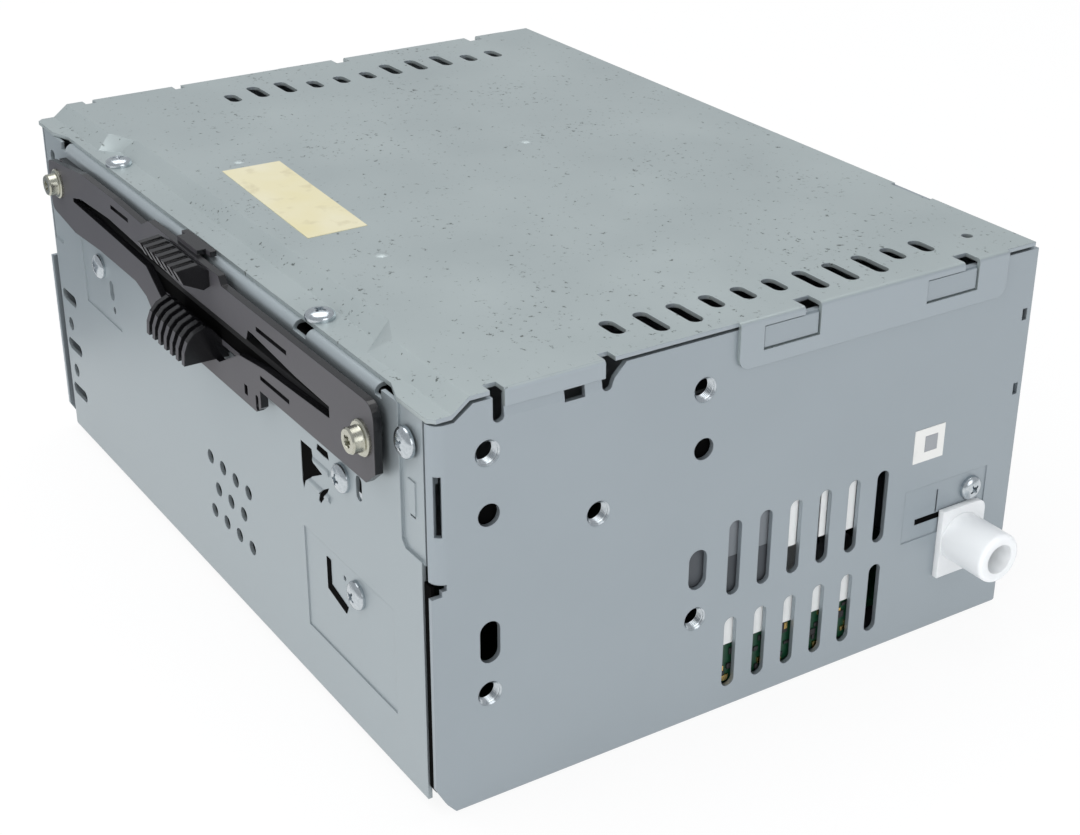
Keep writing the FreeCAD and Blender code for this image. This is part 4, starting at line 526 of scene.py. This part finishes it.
# %% Screws on the case
UP, FRONT, REAR, RIGHT, LEFT = (0, 0, 1), (0, -1, 0), (0, 1, 0), (1, 0, 0), (-1, 0, 0)
FRONT_Y, GUIDE_Y, REAR_Y, HALF = -66.25, -69.25, 66.25, 90.0
groups = {
    "cover_screws": (STEEL_HEAD, zinc_plate, "zinc_screw",
                     [((44.7, -62.2, 77.5), UP, 12), ((-50.9, -61.8, 77.5), UP, 55)]),
    "front_screws": (STEEL_HEAD, zinc_plate, "zinc_screw",
                     [((82.6, FRONT_Y, 70.8), FRONT, 20), ((58.8, FRONT_Y, 53.4), FRONT, 64),
                      ((-57.1, FRONT_Y + 0.25, 53.1), FRONT, 5),
                      ((62.2, FRONT_Y + 0.25, 31.2), FRONT, 38)]),
    "rear_screws": (STEEL_HEAD, zinc_plate, "zinc_screw",
                    [((-53.0, REAR_Y, 51.0), REAR, 30), ((73.5, REAR_Y, 51.0), REAR, 71),
                     ((24.0, REAR_Y + 2.4, 29.0), REAR, 10), ((46.0, REAR_Y + 2.4, 29.0), REAR, 48)]),
    "aerial_screw": (SMALL_HEAD, zinc_plate, "zinc_screw", [((HALF - 0.2, 55.4, 30.2), RIGHT, 15)]),
    "guide_screws": (STAR_HEAD, gold_plate, "gold_screw",
                     [((72.9, GUIDE_Y, 68.2), FRONT, 0), ((-69.8, GUIDE_Y, 69.0), FRONT, 25)]),
}
for node, (part, finish, slot_name, spots) in groups.items():
    made = place_copies(node + "_dressed", part, spots, finish, "case")
    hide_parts(node)
    print(node, "->", len(spots), "heads,", len(made.data.polygons), "faces")

# %% [markdown]
# The bracket screws go into tapped collars. A thread cannot be seen as more than a few bright ridges
# inside each hole, so a short ridged sleeve with a chamfered mouth is turned once and stood in all ten.

# %% Threads in the tapped holes
ridges = [(2.46, -0.01), (2.07, -0.34)]
for step in range(5):
    depth = -0.45 - 0.33 * step
    ridges += [(2.08, depth), (1.84, depth - 0.165)]
ridges += [(2.08, -2.15), (2.35, -2.15), (2.5, -0.3), (2.46, -0.01)]
sleeve_part = turned(ridges, "thread_sleeve", 32)
tapped = [(y, z) for y in (-55.6, -12.0) for z in (22.6, 69.0)] + [(-33.8, 51.3)]
spots = [((side * HALF, y, z), RIGHT if side > 0 else LEFT, 0) for side in (1, -1) for y, z in tapped]
threads = place_copies("tapped_threads", sleeve_part, spots, zinc_plate, "case")
print("threads:", len(spots), "sleeves,", len(threads.data.polygons), "faces")

# %% [markdown]
# Small things that show through openings: the edge of the tuner board with a few parts, white card
# insulators behind the cooling slots, grey loom tape higher up with a darker copy below as painted
# shade, and near-black pieces that are painted shade in the front slots, the wall's holes and gap, and
# behind the guide's mouth.

# %% Pieces behind the openings
def plank(name, low, high, finish, body="case"):
    """Rectangular piece between two corners in millimetres."""
    x0, y0, z0 = (v * MM for v in low)
    x1, y1, z1 = (v * MM for v in high)
    corners = [(x, y, z) for x in (x0, x1) for y in (y0, y1) for z in (z0, z1)]
    faces = [(0, 1, 3, 2), (4, 6, 7, 5), (0, 4, 5, 1), (2, 3, 7, 6), (0, 2, 6, 4), (1, 5, 7, 3)]
    mesh = bpy.data.meshes.new(name)
    mesh.from_pydata(corners, [], faces)
    mesh.materials.append(finish)
    made = bpy.data.objects.new(name, mesh)
    bpy.context.collection.objects.link(made)
    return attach(made, body)


def slab(name, outline, near_y, far_y, finish):
    """Flat piece with an (x, z) outline between two depths, in millimetres."""
    mesh = bpy.data.meshes.new(name)
    shape = bmesh.new()
    ring = [shape.verts.new((x * MM, near_y * MM, z * MM)) for x, z in outline]
    face = shape.faces.new(ring)
    moved = bmesh.ops.extrude_face_region(shape, geom=[face])["geom"]
    for item in moved:
        if isinstance(item, bmesh.types.BMVert):
            item.co.y = far_y * MM
    bmesh.ops.recalc_face_normals(shape, faces=shape.faces)
    shape.to_mesh(mesh)
    shape.free()
    mesh.materials.append(finish)
    made = bpy.data.objects.new(name, mesh)
    bpy.context.collection.objects.link(made)
    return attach(made, "case")


card = moulding("white_card", "#f6f7f6", "#dfe1e0", 0.8, grain_mm=0.6)
tape = moulding("grey_loom_tape", "#8d9297", "#74797e", 0.6, grain_mm=0.8)
# The same loom tape made darker: painted shade on the lower tape and the tape behind the round slot.
shaded_tape = moulding("loom_tape_painted_shade", "#5a5e63", "#43474b", 0.6, grain_mm=0.8)
# Near-black fill with almost no shine, used only as painted shade where slots, holes and gaps look
# black.
shade_fill = moulding("black_painted_shade", "#080808", "#050505", 0.95, grain_mm=0.4, Specular_IOR_Level=0.05)
plank("lower_card", (88.4, -5.6, 13.4), (88.7, 26.6, 20.9), card)
plank("card_third_slot", (88.4, 9.0, 30.2), (88.7, 12.1, 41.2), card)
plank("card_fourth_slot", (88.4, 17.6, 30.0), (88.7, 19.2, 41.2), card)
plank("card_fifth_slot", (88.4, 23.2, 29.4), (88.7, 26.2, 41.4), card)
plank("tape_low", (88.2, -5.4, 24.8), (88.5, 5.3, 32.4), shaded_tape)
plank("tape_high", (88.3, -5.4, 32.4), (88.5, 5.3, 41.4), tape)
plank("tape_round_slot", (88.2, -14.6, 28.4), (88.5, -9.4, 37.6), shaded_tape)
plank("tuner_board_edge", (88.1, -5.6, 4.8), (88.4, 28.4, 13.3), solder_mask)
plank("slit_clip", (64.2, FRONT_Y + 0.3, 51.7), (65.7, FRONT_Y + 0.8, 53.1), zinc_plate)
# Pieces inside the front plate's slot and windows: painted shade over their lit side walls.
slab("bracket_slot_foam", [(50.1, 33.1), (51.7, 33.1), (51.7, 28.0), (58.0, 26.3), (57.2, 24.6),
                           (50.1, 26.4)], FRONT_Y + 0.15, FRONT_Y + 0.6, shade_fill)
slab("window_foam", [(42.2, 53.6), (46.7, 53.6), (46.9, 52.5), (47.9, 50.8), (50.6, 50.2), (46.4, 47.9),
                     (43.3, 45.4), (42.6, 43.8), (42.1, 45.1)], FRONT_Y + 0.12, FRONT_Y + 0.5, shade_fill)
slab("window_top_foam", [(49.1, 55.8), (53.2, 55.8), (53.6, 54.4), (51.3, 54.3), (48.7, 54.5)],
     FRONT_Y + 0.12, FRONT_Y + 0.5, shade_fill)
slab("window_low_foam", [(49.1, 45.7), (50.9, 47.3), (53.1, 48.6), (52.0, 46.8), (49.4, 43.8),
                         (48.6, 44.1)], FRONT_Y + 0.12, FRONT_Y + 0.5, shade_fill)
# Painted shade in the wall's aerial slot, the front slit, the gap by the wall, behind the guide's mouth
# and in two wall holes.
plank("aerial_slot_foam", (89.45, 41.35, 25.75), (89.8, 48.35, 26.95), shade_fill)
plank("front_slit_foam", (63.7, FRONT_Y + 0.82, 51.6), (65.9, FRONT_Y + 1.1, 56.4), shade_fill)
plank("wall_gap_foam", (86.5, -65.9, 5.0), (88.7, -65.3, 46.5), shade_fill)
plank("slot_shade_top", (-62.0, -67.6, 69.3), (62.0, -66.4, 72.4), shade_fill)
plank("slot_shade_low", (-62.0, -67.6, 62.8), (62.0, -66.4, 66.4), shade_fill)
plank("front_hole_foam", (88.2, -58.4, 55.0), (88.6, -53.0, 60.6), shade_fill)
plank("middle_hole_foam", (88.2, -14.6, 55.0), (88.6, -9.2, 60.6), shade_fill)
print("pieces behind openings are in place")

# %% [markdown]
# The small parts on the board's edge are scattered by Geometry Nodes with a fixed seed: tiny blocks
# with random sizes on points spread over the strip that the lower slots show.

# %% Parts on the tuner board's edge
def scatter_blocks(name, low, high, count, seed, finish):
    """Blocks of random size scattered over a rectangle just behind the right wall, in millimetres."""
    sheet = plank(name + "_field", (low[0], low[1], low[2]), (low[0] + 0.01, high[1], high[2]), finish)
    sheet.parent = None
    group = bpy.data.node_groups.new(name + "_tree", "GeometryNodeTree")
    group.interface.new_socket("Geometry", in_out="INPUT", socket_type="NodeSocketGeometry")
    density = group.interface.new_socket("Density", in_out="INPUT", socket_type="NodeSocketFloat")
    group.interface.new_socket("Geometry", in_out="OUTPUT", socket_type="NodeSocketGeometry")
    start = add(group, "NodeGroupInput")
    points = add(group, "GeometryNodeDistributePointsOnFaces",
                 {"Mesh": start.outputs["Geometry"], "Density": start.outputs["Density"], "Seed": seed})
    size = add(group, "FunctionNodeRandomValue", {"Min": (0.5, 0.6, 0.5), "Max": (1.0, 1.8, 1.5),
                                                  "Seed": seed}, data_type="FLOAT_VECTOR")
    block = add(group, "GeometryNodeMeshCube", {"Size": (0.55 * MM, 1.0 * MM, 1.0 * MM)})
    copies = add(group, "GeometryNodeInstanceOnPoints",
                 {"Points": points.outputs["Points"], "Instance": block.outputs[0],
                  "Scale": size.outputs[0]})
    real = add(group, "GeometryNodeRealizeInstances", {"Geometry": copies.outputs[0]})
    painted = add(group, "GeometryNodeSetMaterial", {"Geometry": real.outputs[0], "Material": finish})
    add(group, "NodeGroupOutput", {"Geometry": painted.outputs[0]})
    step = sheet.modifiers.new("scatter", "NODES")
    step.node_group = group
    area = (high[1] - low[1]) * (high[2] - low[2]) * MM * MM
    step[density.identifier] = count / area / 2
    bpy.context.view_layer.update()
    mesh = bpy.data.meshes.new_from_object(sheet.evaluated_get(bpy.context.evaluated_depsgraph_get()))
    bpy.data.objects.remove(sheet)
    mesh.materials.clear()
    mesh.materials.append(finish)
    made = bpy.data.objects.new(name, mesh)
    bpy.context.collection.objects.link(made)
    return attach(made, "case")


for name, count, seed, finish in (("board_edge_parts", 34, 3, epoxy),
                                  ("board_edge_joints", 40, 8, brass)):
    made = scatter_blocks(name, (88.5, -5.0, 5.2), (88.6, 28.0, 12.8), count, seed, finish)
    print(name, "blocks:", len(made.data.polygons) // 6)

# %% [markdown]
# Both labels are bare paper. The one on the lid has yellowed unevenly and worn paler in places. The
# small one on the wall is still white, with a plain grey patch where a printed square would be.

# %% Labels
def aged_paper(name, fresh, yellow, stain):
    """Label paper that has yellowed unevenly, with paler worn marks."""
    material, tree, shader = base(name)
    place = add(tree, "ShaderNodeTexCoord").outputs["Object"]
    age = add(tree, "ShaderNodeTexNoise", {"Vector": place, "Scale": per_metre(14), "Detail": 2.0})
    worn = add(tree, "ShaderNodeTexNoise", {"Vector": place, "Scale": per_metre(5), "Detail": 4.0})
    tone = add(tree, "ShaderNodeMix", {0: age.outputs[0]}, data_type="RGBA")
    tone.inputs[6].default_value = colour(yellow)
    tone.inputs[7].default_value = colour(fresh)
    marks = add(tree, "ShaderNodeMapRange", {"Value": worn.outputs[0], "From Min": 0.56,
                                             "From Max": 0.72, "To Max": 0.5})
    spotted = add(tree, "ShaderNodeMix", {0: marks.outputs[0]}, data_type="RGBA")
    tree.links.new(tone.outputs[2], spotted.inputs[6])
    spotted.inputs[7].default_value = colour(stain)
    tree.links.new(spotted.outputs[2], shader.inputs["Base Color"])
    shader.inputs["Roughness"].default_value = 0.55
    return material


cream = aged_paper("yellowed_label_paper", "#cfccbb", "#c6bc8a", "#a89e80")
paper = aged_paper("white_label_paper", "#e6e6e3", "#dcdcd9", "#cfd0d0")
for name, finish in (("top_label", cream), ("wall_label", paper)):
    nodes[name].data.materials.clear()
    nodes[name].data.materials.append(finish)
label_low, label_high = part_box("wall_label")
print("wall label in mm:", [round(v / MM, 1) for v in (*label_low, *label_high)])
grey_print = moulding("grey_print", "#a6a9ad", "#8c9094", 0.6, grain_mm=0.9)
plank("wall_label_patch", (90.1, 41.6, 41.9), (90.13, 44.8, 45.3), grey_print)

# %% [markdown]
# The turned helper parts are removed, now that their copies stand on the case.

# %% Remove the helper parts
for part in (STEEL_HEAD, SMALL_HEAD, STAR_HEAD, sleeve_part):
    bpy.data.objects.remove(part)
